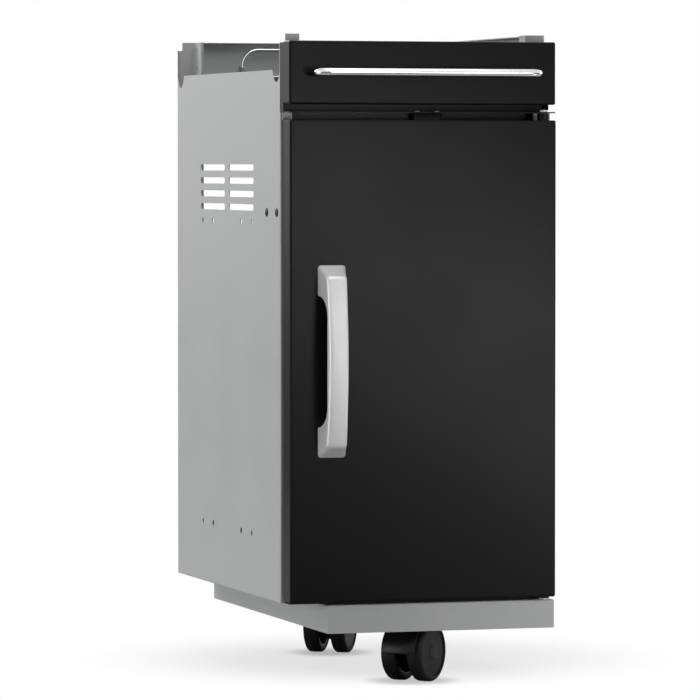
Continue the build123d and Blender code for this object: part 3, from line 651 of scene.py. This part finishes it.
def solid_boxes(node):
    """Lowest and highest corner of each separate solid in a CAD node."""
    bm = bmesh.new()
    bm.from_mesh(frame["nodes"][node].data)
    bmesh.ops.remove_doubles(bm, verts=bm.verts, dist=WELD)
    waiting = set(bm.verts)
    boxes = []
    while waiting:
        front = [waiting.pop()]
        found = []
        while front:
            vert = front.pop()
            found.append(vert.co.copy())
            for edge in vert.link_edges:
                other = edge.other_vert(vert)
                if other in waiting:
                    waiting.remove(other)
                    front.append(other)
        low = Vector([min(co[i] for co in found) for i in range(3)])
        high = Vector([max(co[i] for co in found) for i in range(3)])
        boxes.append((low, high))
    bm.free()
    return boxes


def lie_along(centre, axis):
    """Matrix that stands a shape's own Z along an axis."""
    return Matrix.Translation(centre) @ axis.to_track_quat("Z", "Y").to_matrix().to_4x4()


def turn_profile(bm, centre, axis, profile, steps):
    """Turns a closed profile about an axis. Each corner has its place along the axis, radius and rounding."""
    rounding_steps = 5
    lie = lie_along(centre, axis)
    old_edges = set(bm.edges)
    corners = [bm.verts.new(lie @ Vector((radius, 0, along))) for along, radius, _ in profile]
    bm.faces.new(corners)
    for corner, (_, _, rounding) in zip(corners, profile):
        if rounding:
            ease(bm, [corner], rounding, rounding_steps, affect="VERTICES")
    edges = [edge for edge in bm.edges if edge not in old_edges]
    faces = {near for edge in edges for near in edge.link_faces}
    bmesh.ops.delete(bm, geom=list(faces), context="FACES_ONLY")
    off_axis = [
        edge for edge in edges if any(radius_from(vert.co, centre, axis) > WELD for vert in edge.verts)
    ]
    on_axis = [edge for edge in edges if edge not in off_axis]
    if on_axis:
        bmesh.ops.delete(bm, geom=on_axis, context="EDGES")
    verts = {vert for edge in off_axis for vert in edge.verts}
    bmesh.ops.spin(
        bm,
        geom=list(verts) + off_axis,
        cent=centre,
        axis=axis,
        angle=2 * pi,
        steps=steps,
        use_merge=True,
    )
    bmesh.ops.remove_doubles(bm, verts=bm.verts, dist=WELD)
    bmesh.ops.recalc_face_normals(bm, faces=bm.faces)


def radius_from(point, centre, axis):
    """Distance of a point from an axis."""
    offset = point - centre
    return (offset - axis * offset.dot(axis)).length


def pan_screw(bm, seat, axis, head_radius, head, shank):
    """A pan-head screw with a cross recess: its head stands on the seat, the shank goes in behind it."""
    head_steps, shank_steps, dome_steps = 24, 16, 4
    dome = 0.7 * head
    arm = 0.5 * head_radius
    half_arm = 0.13 * head_radius
    recess_depth = 0.55 * head
    tip_radius = 0.42 * head_radius
    neck_radius = 0.52 * head_radius
    lie = lie_along(seat, axis)
    rise = Matrix.Translation((0, 0, head / 2))
    made = bmesh.ops.create_cone(
        bm,
        cap_ends=True,
        segments=head_steps,
        radius1=head_radius,
        radius2=head_radius,
        depth=head,
        matrix=lie @ rise,
    )["verts"]
    rim = [
        edge
        for vert in made
        for edge in vert.link_edges
        if all((end.co - seat).dot(axis) > head / 2 for end in edge.verts)
    ]
    ease(bm, list(set(rim)), dome, dome_steps)

    def cap_faces():
        """The faces that make up the flat top of the head."""
        return [
            face
            for face in bm.faces
            if (face.calc_center_median() - seat).length < head_radius + head
            and all(abs((vert.co - seat).dot(axis) - head) < WELD for vert in face.verts)
        ]

    across = (lie.col[0].xyz, lie.col[1].xyz)
    for direction in across:
        for place in (-arm, -half_arm, half_arm, arm):
            faces = cap_faces()
            edges = {edge for face in faces for edge in face.edges}
            verts = {vert for face in faces for vert in face.verts}
            bmesh.ops.bisect_plane(
                bm,
                geom=[*verts, *edges, *faces],
                plane_co=seat + direction * place,
                plane_no=direction,
            )
    recess = []
    for face in cap_faces():
        place = [abs((face.calc_center_median() - seat).dot(direction)) for direction in across]
        if min(place) < half_arm and max(place) < arm:
            recess.append(face)
    sunk = bmesh.ops.extrude_face_region(bm, geom=recess)["geom"]
    floor = [item for item in sunk if isinstance(item, bmesh.types.BMVert)]
    bmesh.ops.translate(bm, vec=-axis * recess_depth, verts=floor)

    fall = Matrix.Translation((0, 0, -shank / 2))
    bmesh.ops.create_cone(
        bm,
        cap_ends=True,
        segments=shank_steps,
        radius1=tip_radius,
        radius2=neck_radius,
        depth=shank,
        matrix=lie @ fall,
    )


def ring_at(bm, centre, axis, radius, steps):
    """A round of edges about an axis, as the start of a rod."""
    made = bmesh.ops.create_circle(
        bm, cap_ends=False, radius=radius, segments=steps, matrix=lie_along(centre, axis)
    )
    return list({edge for vert in made["verts"] for edge in vert.link_edges})


def run_on(bm, edges, step):
    """Draws a round of edges out along a straight step."""
    made = bmesh.ops.extrude_edge_only(bm, edges=edges)["geom"]
    bmesh.ops.translate(bm, vec=step, verts=[item for item in made if isinstance(item, bmesh.types.BMVert)])
    return [item for item in made if isinstance(item, bmesh.types.BMEdge)]


def bend_on(bm, edges, centre, axis, angle, steps):
    """Carries a round of edges round a bend."""
    made = bmesh.ops.spin(bm, geom=edges, cent=centre, axis=axis, angle=angle, steps=steps)["geom_last"]
    return [item for item in made if isinstance(item, bmesh.types.BMEdge)]


def close_rod(bm, *ends):
    """Closes a rod's ends and points its faces outwards."""
    for edges in ends:
        bmesh.ops.contextual_create(bm, geom=edges)
    bmesh.ops.remove_doubles(bm, verts=bm.verts, dist=WELD)
    bmesh.ops.recalc_face_normals(bm, faces=bm.faces)


# Pieces

class CABINET_OT_sheet_metal(bpy.types.Operator):
    """Coat the folded panels, the base, the rails, the fascia and the door"""

    bl_idname = "cabinet.sheet_metal"
    bl_label = "Sheet metal"

    def execute(self, context):
        dress("silver", "black_enamel")
        return {"FINISHED"}


class CABINET_OT_hardware(bpy.types.Operator):
    """Finish the small parts, and ease the edges of bolts, nuts, plates, clips and the catch"""

    bl_idname = "cabinet.hardware"
    bl_label = "Hardware"

    def execute(self, context):
        dress("zinc_steel", "black_plastic", "black_rubber", "black_tyre", "chrome", "satin_handle")
        radius = context.scene.cabinet_sizes.pressed_edge
        for node in (
            "header_bolts",
            "caster_bolts",
            "towel_bar_nuts",
            "front_caster_plate",
            "rear_caster_plate",
            "wire_hanger_clips",
            "magnet_catch",
            "strike_plate",
        ):
            place_piece(f"eased_{node}", eased_copy(node, radius), node)
        return {"FINISHED"}


class CABINET_OT_screws(bpy.types.Operator):
    """Make the pan-head screws"""

    bl_idname = "cabinet.screws"
    bl_label = "Screws"

    head: FloatProperty(
        name="Head",
        description="Height of a screw's head",
        unit="LENGTH",
        default=2.2 * MM,
    )
    head_radius: FloatProperty(
        name="Head radius",
        description="Radius of a screw's head",
        unit="LENGTH",
        default=3.8 * MM,
    )

    def execute(self, context):
        facing = {
            "fascia_screws": REAR,
            "bottom_rail_screws": -REAR,
            "stop_rail_screws": -REAR,
            "panel_foot_screws": UP,
            "magnet_catch_screws": UP,
            "handle_screws": REAR,
        }
        for node, axis in facing.items():
            self.screw_group(node, lambda centre, axis=axis: axis)
        for node in ("rear_rail_screws", "rear_panel_screws"):
            self.screw_group(node, lambda centre: -RIGHT if centre.x > 0 else RIGHT)
        return {"FINISHED"}

    def screw_group(self, node, axis_at):
        """Makes one group of screws where its solids are."""
        bm = bmesh.new()
        for low, high in solid_boxes(node):
            centre = (low + high) / 2
            axis = axis_at(centre)
            reach = abs((high - low).dot(axis))
            seat = centre + axis * (reach / 2 - self.head)
            pan_screw(bm, seat, axis, self.head_radius, self.head, reach - self.head)
        place_piece(f"pan_{node}", bm, node)


class CABINET_OT_plugs(bpy.types.Operator):
    """Make the domed plugs in the side panels"""

    bl_idname = "cabinet.plugs"
    bl_label = "Side plugs"

    def execute(self, context):
        tip_rounding = 0.5 * MM
        turned_steps = 32
        bm = bmesh.new()
        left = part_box("left_side_panel")[0].x
        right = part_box("right_side_panel")[1].x
        for low, high in solid_boxes("side_plugs"):
            centre = (low + high) / 2
            head_radius = (high.z - low.z) / 2
            if centre.x < 0:
                axis, face, top, stub = -RIGHT, left, left - low.x, high.x - left
            else:
                axis, face, top, stub = RIGHT, right, high.x - right, right - low.x
            stub_tip, stub_root = 0.6 * head_radius, 0.68 * head_radius
            rim, rim_rounding = 0.45 * top, 0.3 * top
            crown, crown_rounding = 0.6 * head_radius, 1.2 * top
            profile = [
                (-stub, 0.0, 0.0),
                (-stub, stub_tip, tip_rounding),
                (0.0, stub_root, 0.0),
                (0.0, head_radius, 0.0),
                (rim, head_radius, rim_rounding),
                (top, crown, crown_rounding),
                (top, 0.0, 0.0),
            ]
            turn_profile(bm, Vector((face, centre.y, centre.z)), axis, profile, turned_steps)
        place_piece("domed_side_plugs", bm, "side_plugs")
        return {"FINISHED"}


class CABINET_OT_towel_bar(bpy.types.Operator):
    """Bend the chrome towel bar"""

    bl_idname = "cabinet.towel_bar"
    bl_label = "Towel bar"

    def execute(self, context):
        bend = context.scene.cabinet_sizes.bar_bend
        low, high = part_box("towel_bar")
        radius = (high.z - low.z) / 2
        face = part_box("fascia")[0].y
        left = low.x + radius
        right = high.x - radius
        height = (low.z + high.z) / 2
        axis_y = low.y + radius
        straight = face - axis_y - bend
        round_steps, bend_steps = 40, 16
        bm = bmesh.new()
        first = ring_at(bm, Vector((left, face, height)), -REAR, radius, round_steps)
        ring = run_on(bm, first, -REAR * straight)
        ring = bend_on(bm, ring, Vector((left + bend, axis_y + bend, height)), UP, QUARTER, bend_steps)
        ring = run_on(bm, ring, RIGHT * (right - left - 2 * bend))
        ring = bend_on(bm, ring, Vector((right - bend, axis_y + bend, height)), UP, QUARTER, bend_steps)
        ring = run_on(bm, ring, REAR * straight)
        close_rod(bm, first, ring)
        place_piece("chrome_towel_bar", bm, "towel_bar")
        return {"FINISHED"}


class CABINET_OT_wire_hanger(bpy.types.Operator):
    """Bend the chrome wire hanger"""

    bl_idname = "cabinet.wire_hanger"
    bl_label = "Wire hanger"

    def execute(self, context):
        sizes = context.scene.cabinet_sizes
        radius, corner, end_bend = sizes.wire_radius, sizes.wire_corner, sizes.wire_end_bend
        low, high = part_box("wire_hanger")
        left, right = low.x + radius, high.x - radius
        bottom, top = low.z + radius, high.z - radius
        axis_y, face = low.y + radius, high.y
        standoff = face - axis_y - end_bend
        leg = top - bottom - corner - end_bend
        bend_y, bend_z, corner_z = axis_y + end_bend, bottom + end_bend, top - corner
        round_steps, end_steps, corner_steps = 24, 8, 18
        bm = bmesh.new()
        first = ring_at(bm, Vector((left, face, bottom)), -REAR, radius, round_steps)
        ring = run_on(bm, first, -REAR * standoff)
        ring = bend_on(bm, ring, Vector((left, bend_y, bend_z)), -RIGHT, QUARTER, end_steps)
        ring = run_on(bm, ring, UP * leg)
        ring = bend_on(bm, ring, Vector((left + corner, axis_y, corner_z)), REAR, QUARTER, corner_steps)
        ring = run_on(bm, ring, RIGHT * (right - left - 2 * corner))
        ring = bend_on(bm, ring, Vector((right - corner, axis_y, corner_z)), REAR, QUARTER, corner_steps)
        ring = run_on(bm, ring, -UP * leg)
        ring = bend_on(bm, ring, Vector((right, bend_y, bend_z)), RIGHT, QUARTER, end_steps)
        ring = run_on(bm, ring, REAR * standoff)
        close_rod(bm, first, ring)
        place_piece("chrome_wire_hanger", bm, "wire_hanger")
        return {"FINISHED"}


class CABINET_OT_door_handle(bpy.types.Operator):
    """Cast the bowed door handle"""

    bl_idname = "cabinet.door_handle"
    bl_label = "Door handle"

    def execute(self, context):
        sizes = context.scene.cabinet_sizes
        low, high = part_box("door_handle")
        crease = radians(30)
        bm = bmesh.new()
        self.draw_side(bm, sizes, low, high)
        made = bmesh.ops.extrude_face_region(bm, geom=bm.faces[:], use_keep_orig=True)["geom"]
        far = [item for item in made if isinstance(item, bmesh.types.BMVert)]
        bmesh.ops.translate(bm, vec=RIGHT * (high.x - low.x), verts=far)
        bmesh.ops.recalc_face_normals(bm, faces=bm.faces)
        self.round_edges(bm, sizes, low, high)
        self.flare_sides(bm, low, high, sizes.handle_flare)
        place_piece("cast_door_handle", bm, "door_handle", sharp=crease)
        return {"FINISHED"}

    def draw_side(self, bm, sizes, low, high):
        """The handle's left side as one face: two feet, sloped ends, the bow and the arched finger gap."""
        bow_steps, arch_steps = 32, 20
        seat, side = high.y, low.x
        middle = (low.z + high.z) / 2
        half = (high.z - low.z) / 2
        opening = half - sizes.handle_foot
        grip = seat - sizes.handle_grip_gap
        end_y = seat - sizes.handle_end_depth
        end_z = half - sizes.handle_end_slope
        rise = end_y - low.y
        bow = (end_z**2 + rise**2) / (2 * rise)
        bow_angle = 2 * atan2(end_z, bow - rise)
        arch = sizes.handle_arch
        arch_gap = sizes.handle_grip_gap - arch  # from the door forward to the arch's centre
        arch_z = opening - sqrt(arch**2 - arch_gap**2)
        arch_angle = acos(-arch_gap / arch)

        def point(y, z):
            return Vector((side, y, middle + z))

        def joined(start, *places):
            for place in places:
                vert = bm.verts.new(place)
                bm.edges.new((start, vert))
                start = vert
            return start

        def carried(start, centre, angle, steps):
            made = bmesh.ops.spin(bm, geom=[start], cent=centre, axis=RIGHT, angle=angle, steps=steps)
            return next(item for item in made["geom_last"] if isinstance(item, bmesh.types.BMVert))

        start = bm.verts.new(point(seat, opening))
        vert = joined(start, point(seat, half), point(end_y, end_z))
        vert = carried(vert, point(low.y + bow, 0), bow_angle, bow_steps)
        vert = joined(vert, point(seat, -half), point(seat, -opening))
        vert = carried(vert, point(grip + arch, -arch_z), -arch_angle, arch_steps)
        vert = joined(vert, point(grip, arch_z))
        carried(vert, point(grip + arch, arch_z), -arch_angle, arch_steps)
        bmesh.ops.remove_doubles(bm, verts=bm.verts, dist=NEAR)
        bmesh.ops.contextual_create(bm, geom=bm.edges[:])

    def round_edges(self, bm, sizes, low, high):
        """Rounds the edges round the finger gap a little and the outer ones more, but none on the door."""
        bend = radians(20)
        inner_steps, outer_steps = 4, 6
        middle = (low.z + high.z) / 2
        opening = (high.z - low.z) / 2 - sizes.handle_foot
        grip = high.y - sizes.handle_grip_gap

        def is_outer(edge):
            centre = (edge.verts[0].co + edge.verts[1].co) / 2
            return centre.y < grip - NEAR or abs(centre.z - middle) > opening + NEAR

        free = [edge for edge in bm.edges if any(vert.co.y < high.y - WELD for vert in edge.verts)]
        sharp = [edge for edge in free if edge.calc_face_angle() > bend]
        inner = [edge for edge in sharp if not is_outer(edge)]
        outer = [edge for edge in sharp if is_outer(edge)]
        ease(bm, inner, sizes.handle_inner_edge, inner_steps)
        outer = [edge for edge in outer if edge.is_valid]
        ease(bm, outer, sizes.handle_edge, outer_steps)

    def flare_sides(self, bm, low, high, flare):
        """Cuts both sides into strips and draws them in, in an arc from the door to the front."""
        depth = high.y - low.y
        strips = 10
        for i in range(1, strips):
            bmesh.ops.bisect_plane(
                bm,
                geom=[*bm.verts, *bm.edges, *bm.faces],
                plane_co=high - REAR * (depth * i / strips),
                plane_no=REAR,
            )
        arc = (depth**2 + flare**2) / (2 * flare)
        middle = (low.x + high.x) / 2
        for vert in bm.verts:
            behind = vert.co.y - low.y
            inset = flare - (arc - sqrt(arc**2 - behind**2))
            vert.co.x -= inset if vert.co.x > middle else -inset


class CABINET_OT_casters(bpy.types.Operator):
    """Mould the twin-wheel casters"""

    bl_idname = "cabinet.casters"
    bl_label = "Casters"

    def execute(self, context):
        sizes = context.scene.cabinet_sizes
        joints = {joint["name"]: joint for joint in frame["record"]["behaviour"]["joints"]}
        for place in ("front", "rear"):
            housing = f"{place}_caster_housing"
            place_piece(f"moulded_{housing}", eased_copy(housing, sizes.moulded_edge), housing)
            for side, sign in (("left", -1), ("right", 1)):
                axis = sign * Vector(joints[f"{place}_{side}_roll"]["axis"]).normalized()
                self.mould_tyre(sizes, f"{place}_{side}_tyre", axis)
                self.mould_hub(sizes, f"{place}_{side}_hub", axis)
        return {"FINISHED"}

    def mould_tyre(self, sizes, node, axis):
        """A smooth tread with round shoulders and a low seam line round its middle."""
        low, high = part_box(node)
        centre = (low + high) / 2
        radius = (high.z - low.z) / 2
        inner = self.hub_radius(node)
        half = self.half_width(low, high, axis, radius, sizes.tyre_shoulder)
        seam = 0.25 * MM
        profile = [
            (-half, inner, 0.0),
            (-half, radius - seam, sizes.tyre_shoulder),
            (-2 * seam, radius - seam, 0.0),
            (0.0, radius, 0.0),
            (2 * seam, radius - seam, 0.0),
            (half, radius - seam, sizes.tyre_shoulder),
            (half, inner, 0.0),
        ]
        bm = bmesh.new()
        turn_profile(bm, centre, axis, profile, sizes.turned_steps)
        place_piece(f"moulded_{node}", bm, node)

    def hub_radius(self, node):
        """Radius of the hub inside a tyre."""
        low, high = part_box(node.replace("tyre", "hub"))
        return (high.z - low.z) / 2

    def half_width(self, low, high, axis, radius, rounding):
        """Half the width of a wheel with round edges, from the reach of its box across a turned axis."""
        reach = (high.x - low.x) / 2 - rounding
        return (reach - (radius - rounding) * abs(axis.y)) / abs(axis.x) + rounding

    def mould_hub(self, sizes, node, axis):
        """A closed outer disc with a low button, and a hollow with a boss on the inner side."""
        low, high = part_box(node)
        centre = (low + high) / 2
        radius = (high.z - low.z) / 2
        half = self.half_width(low, high, axis, radius, 0.0)
        edge = sizes.moulded_edge
        bore, boss, button = 4.05 * MM, 11.0 * MM, 8.0 * MM
        disc, step = 3.0 * MM, 0.5 * MM
        rim, rim_root, draft = 4.0 * MM, 6.0 * MM, 1.0 * MM
        button_edge = 0.3 * MM
        profile = [
            (-half, bore, 0.0),
            (half - disc, bore, 0.0),
            (half - disc, 0.0, 0.0),
            (half + step, 0.0, 0.0),
            (half + step, button, button_edge),
            (half, button + step, button_edge),
            (half, radius, 0.0),
            (-half, radius, 0.0),
            (-half, radius - rim, edge),
            (half - disc, radius - rim_root, edge),
            (half - disc, boss + draft, edge),
            (-half, boss, edge),
        ]
        bm = bmesh.new()
        turn_profile(bm, centre, axis, profile, sizes.turned_steps)
        place_piece(f"moulded_{node}", bm, node)


class CABINET_OT_stage(bpy.types.Operator):
    """Set up the floor, the light, the white surroundings and the camera"""

    bl_idname = "cabinet.stage"
    bl_label = "Stage"

    floor_size: FloatProperty(
        name="Floor size",
        description="Side of the floor",
        unit="LENGTH",
        default=60.0,
    )

    def execute(self, context):
        scene = context.scene
        self.lay_floor(scene)
        self.light(scene)
        self.surround(scene)
        self.aim_camera(scene)
        scene.view_settings.view_transform = "Standard"
        return {"FINISHED"}

    def lay_floor(self, scene):
        """A pale floor that shows the object's shadow, with painted shade round its middle and round each
        caster's contact, and is otherwise white to the camera.
        """
        # Painted shade: near the middle and near each axle the camera sees less of the white glow, so the
        # floor there is greyer even where lit, on top of its real shadow. A core has the least white, and
        # past the end the floor is all white.
        shadow_centre = (0.05, 0.1, 0.0)
        shadow_core, shadow_end, shadow_white = 0.15, 0.42, 0.72
        contact_shade_core, contact_shade_end, contact_shade_white = 0.03, 0.073, 0.58
        bm = bmesh.new()
        bmesh.ops.create_grid(bm, x_segments=1, y_segments=1, size=self.floor_size / 2)
        mesh = bpy.data.meshes.new("studio_floor")
        bm.to_mesh(mesh)
        bm.free()
        floor = bpy.data.objects.new("studio_floor", mesh)
        scene.collection.objects.link(floor)
        material, tree, place = new_material("pale_studio_floor")
        seen = add_node(tree, "ShaderNodeLightPath")
        paint = add_node(tree, "ShaderNodeBsdfDiffuse", {"Color": shade(scene.cabinet_colours.floor, 1.0)})
        glow = add_node(tree, "ShaderNodeEmission", {"Strength": 1.0})
        # Painted shade round the middle: the floor gets greyer towards the shadow centre, on top of the real
        # shadow.
        away = add_node(tree, "ShaderNodeVectorMath", {0: place, 1: shadow_centre}, operation="DISTANCE")
        fade = add_node(
            tree,
            "ShaderNodeMapRange",
            {
                "Value": away.outputs["Value"],
                "From Min": shadow_core,
                "From Max": shadow_end,
                "To Min": shadow_white,
                "To Max": 1.0,
            },
            interpolation_type="SMOOTHSTEP",
        )
        # Painted contact shade: the floor round the point under each axle is greyer, on top of the real
        # contact shadow.
        contacts = []
        for axle in ("front_caster_axle", "rear_caster_axle"):
            low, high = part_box(axle)
            under = ((low.x + high.x) / 2, (low.y + high.y) / 2, 0.0)
            away = add_node(tree, "ShaderNodeVectorMath", {0: place, 1: under}, operation="DISTANCE")
            contacts.append(away.outputs["Value"])
        nearest = add_node(tree, "ShaderNodeMath", {0: contacts[0], 1: contacts[1]}, operation="MINIMUM")
        contact = add_node(
            tree,
            "ShaderNodeMapRange",
            {
                "Value": nearest.outputs["Value"],
                "From Min": contact_shade_core,
                "From Max": contact_shade_end,
                "To Min": contact_shade_white,
                "To Max": 1.0,
            },
            interpolation_type="SMOOTHSTEP",
        )
        white = add_node(
            tree,
            "ShaderNodeMath",
            {0: fade.outputs["Result"], 1: contact.outputs["Result"]},
            operation="MULTIPLY",
        )
        lift = add_node(
            tree,
            "ShaderNodeMath",
            {0: seen.outputs["Is Camera Ray"], 1: white.outputs["Value"]},
            operation="MULTIPLY",
        )
        both = add_node(
            tree,
            "ShaderNodeMixShader",
            {0: lift.outputs["Value"], 1: paint.outputs["BSDF"], 2: glow.outputs["Emission"]},
        )
        add_node(tree, "ShaderNodeOutputMaterial", {"Surface": both.outputs["Shader"]})
        mesh.materials.append(material)

    def light(self, scene):
        """Softboxes on all sides: a key at the left rear, a dim strip in front, and a small one for the base.

        Each has its name, place, target, size, roll and spread in degrees, and power in watts.
        """
        lamps = (
            ("key_softbox", (-1.7, 1.1, 1.6), (0.0, 0.0, 0.45), (1.3, 1.3), 0, 180, 26.0),
            ("left_softbox", (-2.0, -0.35, 0.35), (-0.13, -0.25, 0.35), (1.1, 0.7), 0, 180, 10.0),
            ("top_softbox", (0.1, -0.9, 2.6), (0.0, -0.2, 0.6), (1.3, 1.3), 0, 180, 22.0),
            ("front_strip", (0.82, -2.6, 0.42), (0.0, -0.25, 0.52), (1.1, 0.26), -32, 30, 0.44),
            ("base_softbox", (0.55, -0.62, 0.25), (0.1, -0.25, 0.08), (0.3, 0.3), 0, 180, 0.9),
            ("right_softbox", (2.6, 0.5, 1.2), (0.1, 0.0, 0.45), (1.4, 1.4), 0, 180, 34.0),
            ("rear_softbox", (0.5, 2.8, 1.3), (0.0, 0.2, 0.45), (1.4, 1.4), 0, 180, 34.0),
        )
        for name, place, target, size, roll, spread, watts in lamps:
            data = bpy.data.lights.new(name, "AREA")
            data.shape = "RECTANGLE"
            data.size, data.size_y = size
            data.spread = radians(spread)
            data.energy = watts
            lamp = bpy.data.objects.new(name, data)
            aim = (Vector(target) - Vector(place)).to_track_quat("-Z", "Y")
            lamp.location = place
            lamp.rotation_euler = (aim.to_matrix() @ Matrix.Rotation(radians(roll), 3, "Z")).to_euler()
            scene.collection.objects.link(lamp)

    def surround(self, scene):
        """White to the camera and in reflections, a dimmer level of fill for the rest."""
        fill = 0.1
        world = bpy.data.worlds.new("white_studio")
        world.use_nodes = True
        tree = world.node_tree
        tree.nodes.clear()
        seen = add_node(tree, "ShaderNodeLightPath")
        mirrored = add_node(
            tree,
            "ShaderNodeMath",
            {0: seen.outputs["Is Glossy Ray"], 1: seen.outputs["Is Transmission Ray"]},
            operation="MAXIMUM",
        )
        white = add_node(
            tree,
            "ShaderNodeMath",
            {0: seen.outputs["Is Camera Ray"], 1: mirrored.outputs["Value"]},
            operation="MAXIMUM",
        )
        level = add_node(
            tree, "ShaderNodeMapRange", {"Value": white.outputs["Value"], "To Min": fill, "To Max": 1.0}
        )
        sky = add_node(
            tree,
            "ShaderNodeBackground",
            {"Color": (1.0, 1.0, 1.0, 1.0), "Strength": level.outputs["Result"]},
        )
        add_node(tree, "ShaderNodeOutputWorld", {"Surface": sky.outputs["Background"]})
        scene.world = world

    def aim_camera(self, scene):
        """The camera stands where the photograph was taken from."""
        sensor_width = 36.0  # millimetres
        sight = 200.0
        sizes = scene.cabinet_sizes
        data = bpy.data.cameras.new("photo_camera")
        data.sensor_fit = "HORIZONTAL"
        data.sensor_width = sensor_width
        data.lens = sizes.camera_lens
        data.clip_end = sight
        camera = bpy.data.objects.new("photo_camera", data)
        camera.location = sizes.camera_place
        camera.rotation_euler = (QUARTER - sizes.camera_dip, 0, -sizes.camera_turn)
        scene.collection.objects.link(camera)
        scene.camera = camera


class CABINET_PT_pieces(bpy.types.Panel):
    """Lists the cabinet's pieces"""

    bl_label = "Grill side cabinet"
    bl_idname = "CABINET_PT_pieces"
    bl_space_type = "VIEW_3D"
    bl_region_type = "UI"
    bl_category = "Cabinet"

    def draw(self, context):
        for operator in OPERATORS:
            self.layout.operator(operator.bl_idname)


GROUPS = (CabinetColours, CabinetSizes)
OPERATORS = (
    CABINET_OT_sheet_metal,
    CABINET_OT_hardware,
    CABINET_OT_screws,
    CABINET_OT_plugs,
    CABINET_OT_towel_bar,
    CABINET_OT_wire_hanger,
    CABINET_OT_door_handle,
    CABINET_OT_casters,
    CABINET_OT_stage,
)
CLASSES = (*GROUPS, *OPERATORS, CABINET_PT_pieces)


def register():
    for item in CLASSES:
        bpy.utils.register_class(item)
    bpy.types.Scene.cabinet_colours = PointerProperty(type=CabinetColours)
    bpy.types.Scene.cabinet_sizes = PointerProperty(type=CabinetSizes)


def unregister():
    del bpy.types.Scene.cabinet_sizes
    del bpy.types.Scene.cabinet_colours
    for item in reversed(CLASSES):
        bpy.utils.unregister_class(item)


def main():
    register()
    bpy.ops.cabinet.sheet_metal()
    bpy.ops.cabinet.hardware()
    bpy.ops.cabinet.screws()
    bpy.ops.cabinet.plugs()
    bpy.ops.cabinet.towel_bar()
    bpy.ops.cabinet.wire_hanger()
    bpy.ops.cabinet.door_handle()
    bpy.ops.cabinet.casters()
    bpy.ops.cabinet.stage()


if __name__ == "__main__":
    main()
